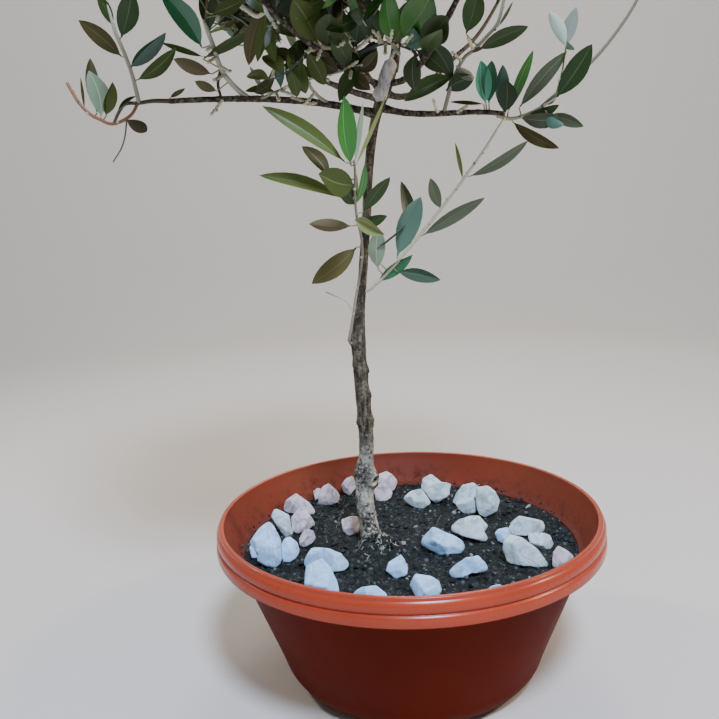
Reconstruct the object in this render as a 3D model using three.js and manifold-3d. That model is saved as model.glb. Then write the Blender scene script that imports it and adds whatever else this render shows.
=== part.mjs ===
// A young olive grown as a small standard tree in a wide plastic bowl, dressed with white marble chips.
// Millimetres, +Z up. The origin is the middle of the bowl's flat underside, and -Y is the front.
import * as THREE from 'three';
import { mergeVertices } from 'three/addons/utils/BufferGeometryUtils.js';
import Module from 'manifold-3d';

const wasm = await Module();
wasm.setup();

// Driving sizes of the bowl
const bowlHeight = 129;
const rimRadius = 150;
const footRadius = 85;
const wallThickness = 3;
const bowlSegments = 32;

// Driving sizes of the soil and the chips on it
const soilTop = 102.5;
const soilRadius = 128.6;
const clearGap = 0.3;

// Driving sizes of the tree
const trunkFoot = soilTop + clearGap;
const trunkTop = 456;
const footGirth = 5.9;
const shootGirth = 5.2;
const upperGirth = 3.3;
const shootHeight = 264;
const flareGirth = 5.2;
const flareHeight = 7;
const leafLength = 55;
const leafWidth = 15;
const leafThickness = 1.2;
const leafGap = 17;
const leafLean = 46;
const leafSpace = 7;
const leafRoom = 0.5;
const leafRoot = 2.5;
const twigGirth = 1.3;
const stemGirth = [1.7, 1.3];
const stemSides = 4;
const boughSides = 6;

// The crown is a dome: wide and shallow below its middle, tall above it, with a rising underside in front.
const crown = { x: -25, y: -8, z: 488, across: 214, deep: 186, up: 206, down: 84 };
const underside = { height: 404, front: -11, rise: 0.3 };
const shootFloor = 262;

// Finishes
const finishes = {
  bowl: new THREE.MeshStandardMaterial({ color: 0xb0492c, roughness: 0.38, metalness: 0 }),
  soil: new THREE.MeshStandardMaterial({ color: 0x2a211d, roughness: 0.95, metalness: 0 }),
  marble: new THREE.MeshStandardMaterial({ color: 0xd9dcdf, roughness: 0.7, metalness: 0 }),
  bark: new THREE.MeshStandardMaterial({ color: 0x857a68, roughness: 0.85, metalness: 0 }),
  leaf: new THREE.MeshStandardMaterial({ color: 0x3d5a3a, roughness: 0.5, metalness: 0 }),
};

const plant = new THREE.Group();
plant.name = 'olive_bonsai';

function addPiece(name, geometry, finish) {
  const piece = new THREE.Mesh(geometry, finishes[finish]);
  piece.name = name;
  plant.add(piece);
}

function place(x, y, z) {
  return new THREE.Vector3(x, y, z);
}

// A repeatable source of numbers from 0 to 1
function drawFrom(seed) {
  let state = seed;
  return () => {
    state = (state * 16807) % 2147483647;
    return state / 2147483647;
  };
}

// Geometry with each shared corner kept once, so that every edge joins two faces
function closed(geometry) {
  geometry.deleteAttribute('normal');
  geometry.deleteAttribute('uv');
  return mergeVertices(geometry, 1e-4);
}

function turned(profile) {
  const points = profile.map(([radius, height]) => new THREE.Vector2(radius, height));
  const shape = closed(new THREE.LatheGeometry(points, bowlSegments));
  return shape.rotateX(Math.PI / 2);
}

// Bowl: a flat foot, a straight flaring wall, an inner ledge just over the soil, and a rolled, ribbed rim
function bowl() {
  const skirtFoot = bowlHeight - 20;
  const neckRadius = 137;
  return turned([
    [0, 0],
    [footRadius, 0],
    [95.5, 3],
    [101, 10],
    [104.2, 22],
    [neckRadius, skirtFoot],
    [neckRadius + 1.3, skirtFoot + 4.5],
    [rimRadius - 3.6, skirtFoot + 4.5],
    [rimRadius - 2.8, skirtFoot],
    [rimRadius - 0.6, skirtFoot],
    [rimRadius, skirtFoot + 3.5],
    [rimRadius - 0.7, skirtFoot + 6.8],
    [rimRadius - 2.1, skirtFoot + 8.8],
    [rimRadius - 0.9, skirtFoot + 11.5],
    [rimRadius - 1.1, skirtFoot + 15],
    [rimRadius - 2.6, skirtFoot + 17.6],
    [rimRadius - 3.8, skirtFoot + 18.2],
    [rimRadius - 5, bowlHeight],
    [rimRadius - 6.8, bowlHeight - 0.6],
    [neckRadius + 5, bowlHeight - 5],
    [neckRadius + 0.2, skirtFoot + 5.5],
    [soilRadius + 3.6, soilTop + 1.1],
    [soilRadius + 1.2, soilTop - 0.1],
    [footRadius + 15.5, 25],
    [footRadius + 11, 8],
    [footRadius + 4, wallThickness + 1],
    [0, wallThickness + 1],
  ]);
}

// Soil: fills the bowl to a flat top, clear of the wall all round
function soil() {
  const drop = wallThickness + 1 + clearGap;
  return turned([
    [0, drop],
    [footRadius + 3.7, drop],
    [footRadius + 10.4, 8.2],
    [footRadius + 14.9, 25.1],
    [soilRadius, soilTop - 3],
    [soilRadius, soilTop],
    [0, soilTop],
  ]);
}

// Marble chips: the place of each on the soil, its height, and its reach in eight directions that go round
// from +X to -Y
const chips = {
  rosy: { x: -71, y: 89, tall: 12, reach: [10, 9, 14, 11, 9, 13, 12, 13] },
  back_small: { x: -53, y: 108, tall: 11, reach: [6, 7, 8, 7, 7, 8, 9, 8] },
  behind_trunk_far: { x: -18, y: 114, tall: 15, reach: [8, 8, 9, 9, 8, 10, 9, 11] },
  behind_trunk_near: { x: -22, y: 90, tall: 10, reach: [9, 8, 9, 9, 8, 9, 8, 8] },
  trunk_side: { x: -48, y: 19, tall: 11, reach: [7, 7, 9, 8, 7, 8, 8, 9] },
  left_far: { x: -94, y: 63, tall: 12, reach: [12, 9, 13, 12, 12, 12, 10, 14] },
  left_middle: { x: -86, y: 28, tall: 14, reach: [10, 9, 13, 11, 9, 10, 12, 11] },
  left_tall: { x: -104, y: 20, tall: 17, reach: [7, 7, 11, 11, 7, 7, 11, 11] },
  left_big: { x: -111, y: -4, tall: 17, reach: [9, 9, 14, 9, 9, 12, 10, 12] },
  left_front: { x: -104, y: -34, tall: 14, reach: [9, 9, 11, 12, 9, 10, 10, 12] },
  left_round: { x: -88, y: -27, tall: 14, reach: [7, 8, 10, 10, 6, 8, 11, 9] },
  left_low: { x: -79, y: -3, tall: 9, reach: [7, 7, 9, 6, 7, 8, 7, 7] },
  front_pair_back: { x: -61, y: -44, tall: 12, reach: [15, 11, 10, 15, 14, 9, 8, 12] },
  front_pair_near: { x: -63, y: -72, tall: 15, reach: [11, 10, 13, 12, 11, 11, 10, 17] },
  front_hidden: { x: -28, y: -97, tall: 9, reach: [13, 9, 7, 9, 12, 8, 6, 8] },
  front_single: { x: -9, y: -60, tall: 12, reach: [7, 8, 9, 6, 7, 9, 8, 8] },
  back_low: { x: 8, y: 78, tall: 9, reach: [9, 9, 12, 11, 12, 10, 12, 13] },
  back_tall: { x: 26, y: 95, tall: 15, reach: [14, 11, 15, 13, 11, 12, 15, 15] },
  cluster_back: { x: 56, y: 84, tall: 12, reach: [12, 13, 11, 9, 12, 12, 9, 10] },
  cluster_right: { x: 70, y: 59, tall: 16, reach: [10, 12, 14, 10, 9, 13, 15, 10] },
  cluster_front: { x: 50, y: 59, tall: 9, reach: [8, 9, 10, 8, 10, 9, 9, 10] },
  middle_right: { x: 48, y: 8, tall: 11, reach: [13, 14, 14, 14, 16, 12, 12, 15] },
  middle_big: { x: 24, y: -18, tall: 11, reach: [16, 11, 13, 16, 15, 13, 12, 18] },
  middle_front: { x: 42, y: -59, tall: 9, reach: [12, 12, 9, 9, 12, 13, 8, 9] },
  front_round: { x: 10, y: -88, tall: 10, reach: [10, 10, 9, 10, 11, 11, 9, 11] },
  front_edge: { x: 56, y: -96, tall: 8, reach: [11, 8, 7, 8, 11, 8, 6, 8] },
  right_top: { x: 92, y: 8, tall: 10, reach: [14, 12, 13, 10, 12, 15, 10, 10] },
  right_side: { x: 101, y: -16, tall: 10, reach: [9, 8, 8, 9, 10, 9, 8, 10] },
  right_big: { x: 83, y: -40, tall: 13, reach: [12, 11, 14, 15, 14, 16, 12, 18] },
  right_edge: { x: 108, y: -48, tall: 11, reach: [9, 8, 9, 7, 7, 10, 7, 7] },
};

// Reach of a chip along any bearing, drawn straight between its eight named ones
function chipReach(chip, bearing) {
  const step = ((bearing / (Math.PI / 4)) + 8) % 8;
  const low = Math.floor(step) % 8;
  const high = (low + 1) % 8;
  return THREE.MathUtils.lerp(chip.reach[low], chip.reach[high], step - Math.floor(step));
}

// A chip is a ball of eight meridians, drawn out to its reach, flat below and broken into facets above
function chipShape(chip, others, seed) {
  const draw = drawFrom(seed);
  const shape = closed(new THREE.SphereGeometry(1, 8, 4)).rotateX(Math.PI / 2);
  const corner = shape.attributes.position;
  for (let i = 0; i < corner.count; i++) {
    const level = corner.getZ(i);
    const bearing = Math.atan2(corner.getY(i), corner.getX(i));
    const onAxis = Math.hypot(corner.getX(i), corner.getY(i)) < 0.01;
    const upper = level > 0.3;
    const spread = upper ? 0.55 + 0.25 * draw() : (level < -0.3 ? 0.93 : 1);
    const out = onAxis ? 0 : spread * chipReach(chip, bearing);
    const lift = upper ? 0.78 + 0.22 * draw() : (level < -0.3 ? 0 : 0.3 + 0.2 * draw());
    const height = chip.tall * (onAxis && upper ? 1 : lift);
    const spot = place(chip.x + out * Math.cos(bearing), chip.y + out * Math.sin(bearing), 0);
    for (const other of others) {
      keepOwnSide(spot, chip, other);
    }
    corner.setXYZ(i, spot.x, spot.y, trunkFoot + height);
  }
  return shape;
}

// Presses a point of one chip back to the line that parts it from its neighbour
function keepOwnSide(spot, chip, other) {
  const apart = Math.hypot(other.x - chip.x, other.y - chip.y);
  const toward = place((other.x - chip.x) / apart, (other.y - chip.y) / apart, 0);
  const bearing = Math.atan2(toward.y, toward.x);
  const own = chipReach(chip, bearing);
  const theirs = chipReach(other, bearing + Math.PI);
  const border = apart * own / (own + theirs) - clearGap / 2;
  const reached = (spot.x - chip.x) * toward.x + (spot.y - chip.y) * toward.y;
  if (reached > border) {
    spot.addScaledVector(toward, border - reached);
  }
}

// A limb: its course, its girth along the course, and points on both for other limbs to keep clear of
class Limb {
  constructor(course, girth) {
    this.course = course;
    this.girth = girth;
    this.marks = [];
    for (let i = 0; i <= 16; i++) {
      this.marks.push({ spot: this.at(i / 16), girth: girth(i / 16, 0) });
    }
  }

  at(along) {
    return this.course.getPointAt(along);
  }

  // How far a point lies outside the bark
  clearBy(spot) {
    return Math.min(...this.marks.map((mark) => mark.spot.distanceTo(spot) - mark.girth));
  }

  heading(along) {
    return this.course.getTangentAt(along);
  }

  // A closed round bar that follows the course, from a cylinder bent ring by ring
  bar(sides, steps) {
    const frames = this.course.computeFrenetFrames(steps, false);
    const shape = closed(new THREE.CylinderGeometry(1, 1, 1, sides, steps));
    const corner = shape.attributes.position;
    for (let i = 0; i < corner.count; i++) {
      const ring = Math.round((corner.getY(i) + 0.5) * steps);
      const bearing = Math.atan2(corner.getZ(i), corner.getX(i));
      const girth = this.girth(ring / steps, bearing);
      const spot = this.at(ring / steps);
      spot.addScaledVector(frames.normals[ring], corner.getX(i) * girth);
      spot.addScaledVector(frames.binormals[ring], -corner.getZ(i) * girth);
      corner.setXYZ(i, spot.x, spot.y, spot.z);
    }
    return shape;
  }
}

// A limb that leaves one place in a heading and arrives at another in a second heading
function bentLimb(foot, leave, tip, arrive, footSize, tipSize, start) {
  const third = foot.distanceTo(tip) / 3;
  const course = new THREE.CubicBezierCurve3(
    foot,
    foot.clone().addScaledVector(leave, start ?? third),
    tip.clone().addScaledVector(arrive, -third),
    tip,
  );
  return new Limb(course, (along) => THREE.MathUtils.lerp(footSize, tipSize, along));
}

// Trunk: leans left above the soil, then right to the fork, with a root flare, knots and a thick head.
// A bearing of 0 faces the front, and a quarter turn more faces the left.
const trunkCourse = new THREE.CatmullRomCurve3([
  place(-27.2, -11, trunkFoot),
  place(-30.4, -11, 119),
  place(-33.1, -11, 142),
  place(-32, -11, 162),
  place(-30.4, -10.6, 180),
  place(-30.3, -10.5, 200),
  place(-32.8, -10, shootHeight),
  place(-29.2, -9, 300),
  place(-23.8, -8, 350),
  place(-19.9, -9, 392),
  place(-13.5, -10, 425),
  place(-1.5, -11, trunkTop),
]);
const knots = [
  { height: 113, size: 1.4, spread: 7, bearing: 0.9 },
  { height: 160, size: 3.2, spread: 7, bearing: -1.3 },
  { height: 163, size: 2.2, spread: 8, bearing: 1.4 },
  { height: 203, size: 1.5, spread: 4, bearing: -1.2 },
  { height: 202, size: 0.9, spread: 4, bearing: 1.5 },
  { height: 222, size: 1.3, spread: 4, bearing: -1.4 },
  { height: 241, size: 1.1, spread: 4, bearing: -1.5 },
  { height: 246, size: 0.6, spread: 3, bearing: 1.5 },
  { height: 262, size: 1.1, spread: 5, bearing: 1.0 },
];
const waistSwell = { height: 138, size: 1.1, spread: 20 };
const headSwell = { height: 443, size: 1.5, spread: 15 };

function bell(height, swell) {
  return swell.size * Math.exp(-(((height - swell.height) / swell.spread) ** 2));
}

function trunkGirth(along, bearing) {
  const height = trunkFoot + along * (trunkTop - trunkFoot);
  const risen = (height - trunkFoot) / (shootHeight - trunkFoot);
  const lower = THREE.MathUtils.lerp(footGirth, shootGirth, risen);
  const upper = THREE.MathUtils.smoothstep(height, shootHeight, shootHeight + 34);
  const lobes = 1 + 0.28 * Math.sin(4 * bearing + 1.1) + 0.12 * Math.sin(7 * bearing);
  let girth = THREE.MathUtils.lerp(Math.max(lower, upperGirth), upperGirth, upper);
  girth += flareGirth * lobes * Math.exp(-(height - trunkFoot) / flareHeight);
  girth += bell(height, waistSwell) + bell(height, headSwell);
  for (const knot of knots) {
    girth += bell(height, knot) * Math.max(0.15, Math.cos(bearing - knot.bearing));
  }
  return girth;
}

const trunk = new Limb(trunkCourse, trunkGirth);

// The foot is cut flat, level with the soil.
function trunkShape() {
  const shape = trunk.bar(10, 26);
  const corner = shape.attributes.position;
  for (let i = 0; i < corner.count; i++) {
    if (corner.getZ(i) < trunkFoot + 3) {
      corner.setZ(i, trunkFoot);
    }
  }
  return shape;
}

// Where one limb grows from the side of another: square to it, just clear of its bark
function seatOn(parent, along, toward) {
  const spine = parent.heading(along);
  const leave = toward.clone().addScaledVector(spine, -toward.dot(spine)).normalize();
  const bark = parent.girth(along, Math.atan2(-leave.x, -leave.y));
  const foot = parent.at(along).addScaledVector(leave, bark + clearGap);
  return { foot, leave };
}

// Where one limb carries on from the tip of another
function seatAtTip(parent) {
  const leave = parent.heading(1);
  return { foot: parent.at(1).addScaledVector(leave, clearGap), leave };
}

// Main boughs: what each grows from, how far along it, the side it leaves by, its tip, and its two girths
const boughPlans = {
  bough_left: {
    from: 'trunk', along: 0.91, toward: [-1, -0.05, 0],
    tip: [-156, -25, 440], arrive: [-1, 0, 0], girth: [2.7, 1.8],
  },
  bough_right: {
    from: 'trunk', along: 0.925, toward: [1, 0.05, 0],
    tip: [76, -2, 423], arrive: [1, 0, -0.2], girth: [2.4, 1.7],
  },
  bough_back_left: {
    from: 'trunk', along: 0.94, toward: [-0.6, 0.8, 0],
    tip: [-80, 72, 478], arrive: [-0.6, 0.6, 0.5], girth: [2.5, 1.7],
  },
  bough_back_right: {
    from: 'trunk', along: 0.955, toward: [0.6, 0.8, 0],
    tip: [56, 76, 482], arrive: [0.6, 0.6, 0.5], girth: [2.4, 1.7],
  },
  bough_front_left: {
    from: 'trunk', along: 0.962, toward: [-0.7, -0.7, 0],
    tip: [-78, -84, 488], arrive: [-0.5, -0.6, 0.6], girth: [2.3, 1.6],
  },
  bough_front_right: {
    from: 'trunk', along: 0.975, toward: [0.6, -0.8, 0],
    tip: [48, -94, 496], arrive: [0.4, -0.6, 0.6], girth: [2.3, 1.6],
  },
  bough_leader: {
    from: 'trunk',
    tip: [-18, -6, 566], arrive: [0, 0, 1], girth: [3.4, 2.2],
  },
  bough_high_left: {
    from: 'bough_leader', along: 0.52, toward: [-1, 0, 0],
    tip: [-92, -10, 578], arrive: [-0.8, 0, 0.6], girth: [2, 1.5],
  },
  bough_high_right: {
    from: 'bough_leader', along: 0.44, toward: [1, 0.1, 0],
    tip: [58, 0, 568], arrive: [0.8, 0, 0.6], girth: [2, 1.5],
  },
  bough_high_front: {
    from: 'bough_leader', along: 0.68, toward: [0, -1, 0],
    tip: [-22, -76, 590], arrive: [0, -0.8, 0.6], girth: [1.9, 1.5],
  },
  bough_high_back: {
    from: 'bough_leader', along: 0.6, toward: [0, 1, 0],
    tip: [-26, 70, 588], arrive: [0, 0.8, 0.6], girth: [1.9, 1.5],
  },
};

// Masses of foliage: the stem of each, as for a bough, its pairs of twigs, and how long a twig may be
const massPlans = {
  mass_left_tip: {
    from: 'bough_left',
    tip: [-214, -33, 478], arrive: [-0.5, 0, 0.85], pairs: 4, reach: 50,
  },
  mass_left_inner: {
    from: 'bough_left', along: 0.6, toward: [-0.2, 0, 1],
    tip: [-122, -26, 528], arrive: [-0.2, 0, 1], pairs: 4, reach: 56,
  },
  mass_right_tip: {
    from: 'bough_right',
    tip: [160, 6, 494], arrive: [0.5, 0, 0.85], pairs: 4, reach: 50,
  },
  mass_right_inner: {
    from: 'bough_right', along: 0.5, toward: [0.2, 0, 1],
    tip: [70, -14, 520], arrive: [0.2, 0, 1], pairs: 4, reach: 56,
  },
  mass_back_left: {
    from: 'bough_back_left',
    tip: [-138, 122, 538], arrive: [-0.5, 0.4, 0.8], pairs: 4, reach: 62,
  },
  mass_back_right: {
    from: 'bough_back_right',
    tip: [96, 120, 538], arrive: [0.5, 0.4, 0.8], pairs: 4, reach: 62,
  },
  mass_front_left: {
    from: 'bough_front_left',
    tip: [-116, -138, 548], arrive: [-0.4, -0.4, 0.8], pairs: 4, reach: 60,
  },
  mass_front_right: {
    from: 'bough_front_right',
    tip: [78, -138, 552], arrive: [0.4, -0.4, 0.8], pairs: 4, reach: 60,
  },
  mass_centre: {
    from: 'bough_leader', along: 0.16, toward: [-0.3, -1, 0],
    tip: [-32, -84, 512], arrive: [-0.1, -0.7, 0.7], pairs: 4, reach: 48,
  },
  mass_high_left: {
    from: 'bough_high_left',
    tip: [-150, -14, 626], arrive: [-0.6, 0, 0.8], pairs: 4, reach: 62,
  },
  mass_high_right: {
    from: 'bough_high_right',
    tip: [106, 4, 622], arrive: [0.6, 0, 0.8], pairs: 4, reach: 62,
  },
  mass_high_front: {
    from: 'bough_high_front',
    tip: [-24, -108, 614], arrive: [0, -0.6, 0.8], pairs: 4, reach: 60,
  },
  mass_high_back: {
    from: 'bough_high_back',
    tip: [-28, 100, 612], arrive: [0, 0.6, 0.8], pairs: 4, reach: 60,
  },
  mass_top: {
    from: 'bough_leader',
    tip: [-24, -8, 668], arrive: [0, 0, 1], pairs: 5, reach: 62,
  },
  shoot_front: {
    from: 'trunk', along: 0.452, toward: [-0.8, -0.6, 0],
    by: [
      [-40, -16, 264.5], [-36.8, -18.5, 278], [-33.3, -19.5, 296], [-30, -21, 311], [-26.6, -25, 328],
      [-26.6, -32, 342], [-28.6, -41, 356], [-28.8, -51, 370], [-27.4, -63, 385], [-27.3, -74, 399],
    ],
    tip: [-28, -84, 416], pairs: 0, girth: [1.4, 1],
  },
  shoot_right: {
    from: 'trunk', along: 0.56, toward: [1, -0.15, 0],
    tip: [66, -47, 408], arrive: [0.5, -0.25, 0.8], pairs: 0, start: 6, girth: [1.4, 1],
  },
};

const limbs = { trunk };

function growLimb(plan) {
  const parent = limbs[plan.from];
  const [footSize, tipSize] = plan.girth;
  const seat = plan.toward ? seatOn(parent, plan.along, place(...plan.toward)) : seatAtTip(parent);
  if (plan.by) {
    const passed = [seat.foot, ...plan.by.map((spot) => place(...spot)), place(...plan.tip)];
    const course = new THREE.CatmullRomCurve3(passed);
    return new Limb(course, (along) => THREE.MathUtils.lerp(footSize, tipSize, along));
  }
  const arrive = place(...plan.arrive).normalize();
  return bentLimb(seat.foot, seat.leave, place(...plan.tip), arrive, footSize, tipSize, plan.start);
}

for (const [name, plan] of Object.entries(boughPlans)) {
  limbs[name] = growLimb(plan);
}
for (const [name, plan] of Object.entries(massPlans)) {
  limbs[name] = growLimb({ girth: stemGirth, ...plan });
}

// The heart of a mass is two thirds of the way along its stem. Its space is all that lies nearer to its own
// heart than to any other, and a crown mass also stays inside the dome.
const hearts = {};
for (const name of Object.keys(massPlans)) {
  hearts[name] = limbs[name].at(0.66);
}

function insideDome(spot) {
  const rise = spot.z - crown.z;
  const tall = rise > 0 ? crown.up : crown.down;
  const round = ((spot.x - crown.x) / crown.across) ** 2 + ((spot.y - crown.y) / crown.deep) ** 2;
  const floor = underside.height + underside.rise * Math.max(0, underside.front - spot.y);
  return round + (rise / tall) ** 2 < 1 && spot.z > floor;
}

function insideSpace(name, spot) {
  const isShoot = massPlans[name].pairs === 0;
  if (isShoot ? spot.z < shootFloor : !insideDome(spot)) {
    return false;
  }
  const heart = hearts[name];
  return Object.entries(hearts).every(([other, far]) => {
    if (other === name) {
      return true;
    }
    const nearer = spot.distanceToSquared(far) - spot.distanceToSquared(heart);
    return nearer / (2 * heart.distanceTo(far)) > clearGap;
  });
}

// A point is clear of every limb but its own stem by the margin given
function clearOfLimbs(name, spot, margin) {
  return Object.entries(limbs).every(([other, limb]) => other === name || limb.clearBy(spot) > margin);
}

// A direction leaned away from a spine, on the side that the turn gives
function leaned(spine, turn, lean) {
  const level = Math.abs(spine.z) > 0.95 ? place(1, 0, 0) : place(0, 0, 1);
  const side = new THREE.Vector3().crossVectors(spine, level).normalize();
  const out = side.applyAxisAngle(spine, turn);
  return spine.clone().multiplyScalar(Math.cos(lean)).addScaledVector(out, Math.sin(lean));
}

// Twigs leave the stem in opposite pairs, each pair a quarter turn from the last, and shorten towards its tip
function growTwigs(name, plan, draw) {
  const stem = limbs[name];
  const twigs = [];
  for (let pair = 0; pair < plan.pairs; pair++) {
    const along = 0.2 + (0.72 * pair) / plan.pairs;
    for (let half = 0; half < 2; half++) {
      const turn = (pair + 2 * half) * (Math.PI / 2) + 0.7 * draw();
      const lean = THREE.MathUtils.degToRad(44 + 18 * draw());
      const heading = leaned(stem.heading(along), turn, lean);
      const reach = plan.reach * (1 - 0.35 * along) * (0.8 + 0.3 * draw());
      const foot = stem.at(along);
      for (const share of [1, 0.75, 0.5]) {
        const tip = foot.clone().addScaledVector(heading, reach * share);
        if (twigFits(name, foot, tip, heading)) {
          twigs.push(new Limb(new THREE.LineCurve3(foot, tip), () => twigGirth));
          break;
        }
      }
    }
  }
  return twigs;
}

// A twig keeps clear of the limbs, and leaves room between its tip and the edge of the space for its leaves
function twigFits(name, foot, tip, heading) {
  const end = tip.clone().addScaledVector(heading, leafRoom * leafLength);
  return insideSpace(name, end) && [0.25, 0.5, 0.75, 1].every((share) => {
    return clearOfLimbs(name, foot.clone().lerp(tip, share), twigGirth + clearGap);
  });
}

// A leaf: its root, its heading, the way its upper face looks, and its size
function leafFrom(root, spine, turn, lean, size) {
  const heading = leaned(spine, turn, lean);
  const face = spine.clone().addScaledVector(heading, -spine.dot(heading)).normalize();
  const side = new THREE.Vector3().crossVectors(face, heading);
  return { root, heading, face, side, length: leafLength * size, width: leafWidth * size };
}

function leafSpot(leaf, along, across, up) {
  const spot = leaf.root.clone().addScaledVector(leaf.heading, along * leaf.length);
  spot.addScaledVector(leaf.side, (across * leaf.width) / 2);
  return spot.addScaledVector(leaf.face, (up * leafThickness) / 2);
}

// A leaf stays in the space of its mass, clear of the limbs and of the leaves already there
function leafFits(name, leaf, taken) {
  const edge = [leafSpot(leaf, 1, 0, 0), leafSpot(leaf, 0.42, 1, 0), leafSpot(leaf, 0.42, -1, 0)];
  if (!edge.every((spot) => insideSpace(name, spot))) {
    return false;
  }
  for (const along of [0.2, 0.42, 0.7, 1]) {
    const halfWidth = (leaf.width / 2) * Math.min(along / 0.42, (1 - along) / 0.58);
    if (!clearOfLimbs(name, leafSpot(leaf, along, 0, 0), halfWidth + clearGap)) {
      return false;
    }
  }
  const middle = leafSpot(leaf, 0.6, 0, 0);
  const end = leafSpot(leaf, 1, 0, 0);
  return taken.every((spot) => spot.distanceTo(middle) > leafSpace && spot.distanceTo(end) > leafSpace);
}

// Leaves stand in opposite pairs along a twig, each pair a quarter turn from the last, with one at its tip
function growLeaves(name, twig, from, draw, leaves, taken) {
  const long = twig.course.getLength();
  const pairs = Math.floor((long * (1 - from)) / leafGap);
  const places = [{ along: 1 - leafRoot / long, turn: 0, lean: 0.12 }];
  for (let pair = 0; pair < pairs; pair++) {
    const along = 1 - (pair * leafGap + 2 * leafRoot) / long;
    const turn = (pair * Math.PI) / 2 + 0.5 * draw();
    const lean = THREE.MathUtils.degToRad(leafLean + 10 * (draw() - 0.5));
    places.push({ along, turn, lean });
    places.push({ along, turn: turn + Math.PI, lean });
  }
  for (const { along, turn, lean } of places) {
    const size = 0.82 + 0.3 * draw();
    for (const nudge of [0, 0.8, -0.8]) {
      const leaf = leafFrom(twig.at(along), twig.heading(along), turn + nudge, lean, size);
      if (leafFits(name, leaf, taken)) {
        leaves.push(leaf);
        taken.push(leafSpot(leaf, 0.6, 0, 0), leafSpot(leaf, 1, 0, 0));
        break;
      }
    }
  }
}

// An eight-faced blade: widest under the middle, thickest near the root, which is sunk into its twig
function leafShape(leaf) {
  const shape = closed(new THREE.OctahedronGeometry(1));
  const corner = shape.attributes.position;
  for (let i = 0; i < corner.count; i++) {
    const [end, across, up] = [corner.getX(i), corner.getY(i), corner.getZ(i)];
    const along = end > 0.5 ? 1 : (end < -0.5 ? 0 : (Math.abs(across) > 0.5 ? 0.42 : 0.12));
    const spot = leafSpot(leaf, along, across, up);
    corner.setXYZ(i, spot.x, spot.y, spot.z);
  }
  return shape;
}

function solidFrom(shape) {
  const vertProperties = new Float32Array(shape.attributes.position.array);
  const triVerts = new Uint32Array(shape.index.array);
  return new wasm.Manifold(new wasm.Mesh({ numProp: 3, vertProperties, triVerts }));
}

function shapeFrom(solid) {
  const mesh = solid.getMesh();
  const shape = new THREE.BufferGeometry();
  shape.setAttribute('position', new THREE.BufferAttribute(mesh.vertProperties, 3));
  shape.setIndex(new THREE.BufferAttribute(mesh.triVerts, 1));
  return shape;
}

// A mass: one stem, its twigs and all their leaves, fused into a single solid
function massShape(name, plan, seed) {
  const draw = drawFrom(seed);
  const stem = limbs[name];
  const twigs = growTwigs(name, plan, draw);
  const leaves = [];
  const taken = [];
  growLeaves(name, stem, plan.pairs ? 0.7 : 0.3, draw, leaves, taken);
  for (const twig of twigs) {
    growLeaves(name, twig, 0.15, draw, leaves, taken);
  }
  let solid = solidFrom(stem.bar(stemSides, plan.pairs ? 5 : 12));
  for (const twig of twigs) {
    solid = solid.add(solidFrom(twig.bar(3, 1)));
  }
  for (const leaf of leaves) {
    solid = solid.add(solidFrom(leafShape(leaf)));
  }
  return shapeFrom(solid);
}

addPiece('pot', bowl(), 'bowl');
addPiece('soil', soil(), 'soil');
Object.entries(chips).forEach(([name, chip], index) => {
  const others = Object.values(chips).filter((other) => other !== chip);
  addPiece(`stone_${name}`, chipShape(chip, others, 11 + index), 'marble');
});
addPiece('trunk', trunkShape(), 'bark');
for (const name of Object.keys(boughPlans)) {
  addPiece(name, limbs[name].bar(boughSides, 5), 'bark');
}
Object.entries(massPlans).forEach(([name, plan], index) => {
  addPiece(name, massShape(name, plan, 101 + 37 * index), 'leaf');
});

export default plant;
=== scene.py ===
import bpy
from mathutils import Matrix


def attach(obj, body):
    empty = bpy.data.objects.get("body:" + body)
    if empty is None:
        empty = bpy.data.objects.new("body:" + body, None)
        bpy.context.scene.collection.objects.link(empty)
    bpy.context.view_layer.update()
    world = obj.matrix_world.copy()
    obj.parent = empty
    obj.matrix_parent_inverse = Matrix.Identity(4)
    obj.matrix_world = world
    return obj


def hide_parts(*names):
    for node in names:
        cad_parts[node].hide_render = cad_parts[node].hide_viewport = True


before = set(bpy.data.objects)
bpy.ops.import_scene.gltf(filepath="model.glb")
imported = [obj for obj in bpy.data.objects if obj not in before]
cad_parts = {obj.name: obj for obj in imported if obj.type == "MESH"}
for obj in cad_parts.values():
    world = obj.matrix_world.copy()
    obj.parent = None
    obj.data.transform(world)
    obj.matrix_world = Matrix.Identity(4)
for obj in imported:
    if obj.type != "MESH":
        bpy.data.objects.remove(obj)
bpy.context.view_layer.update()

import math

import bmesh
import bpy
import numpy as np
from mathutils import Matrix, Vector, noise

# A young olive grown as a small standard tree in a wide plastic bowl, dressed with broken white marble.
# Shapes are worked out in millimetres, +Z up and -Y to the front. A finished piece is turned to metres.
mm = 0.001


def linear(hexColour):
    channels = [int(hexColour[i:i + 2], 16) / 255 for i in (1, 3, 5)]
    return [c / 12.92 if c <= 0.04045 else ((c + 0.055) / 1.055) ** 2.4 for c in channels] + [1]


# Adds a shader node and gives back one of its outputs. Plain inputs are set, hex colours turned to linear,
# sockets linked, and stops fill a colour ramp.
def addNode(tree, kind, inputs=None, stops=None, out=0, **settings):
    made = tree.nodes.new("ShaderNode" + kind)
    for name, value in settings.items():
        setattr(made, name, value)
    for name, value in (inputs or {}).items():
        if isinstance(value, bpy.types.NodeSocket):
            tree.links.new(value, made.inputs[name])
        else:
            made.inputs[name].default_value = linear(value) if isinstance(value, str) else value
    for index, (position, colour) in enumerate(stops or []):
        elements = made.color_ramp.elements
        element = elements[index] if index < len(elements) else elements.new(position)
        element.position = position
        element.color = linear(colour) if isinstance(colour, str) else colour
    return made.outputs[out]


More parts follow.
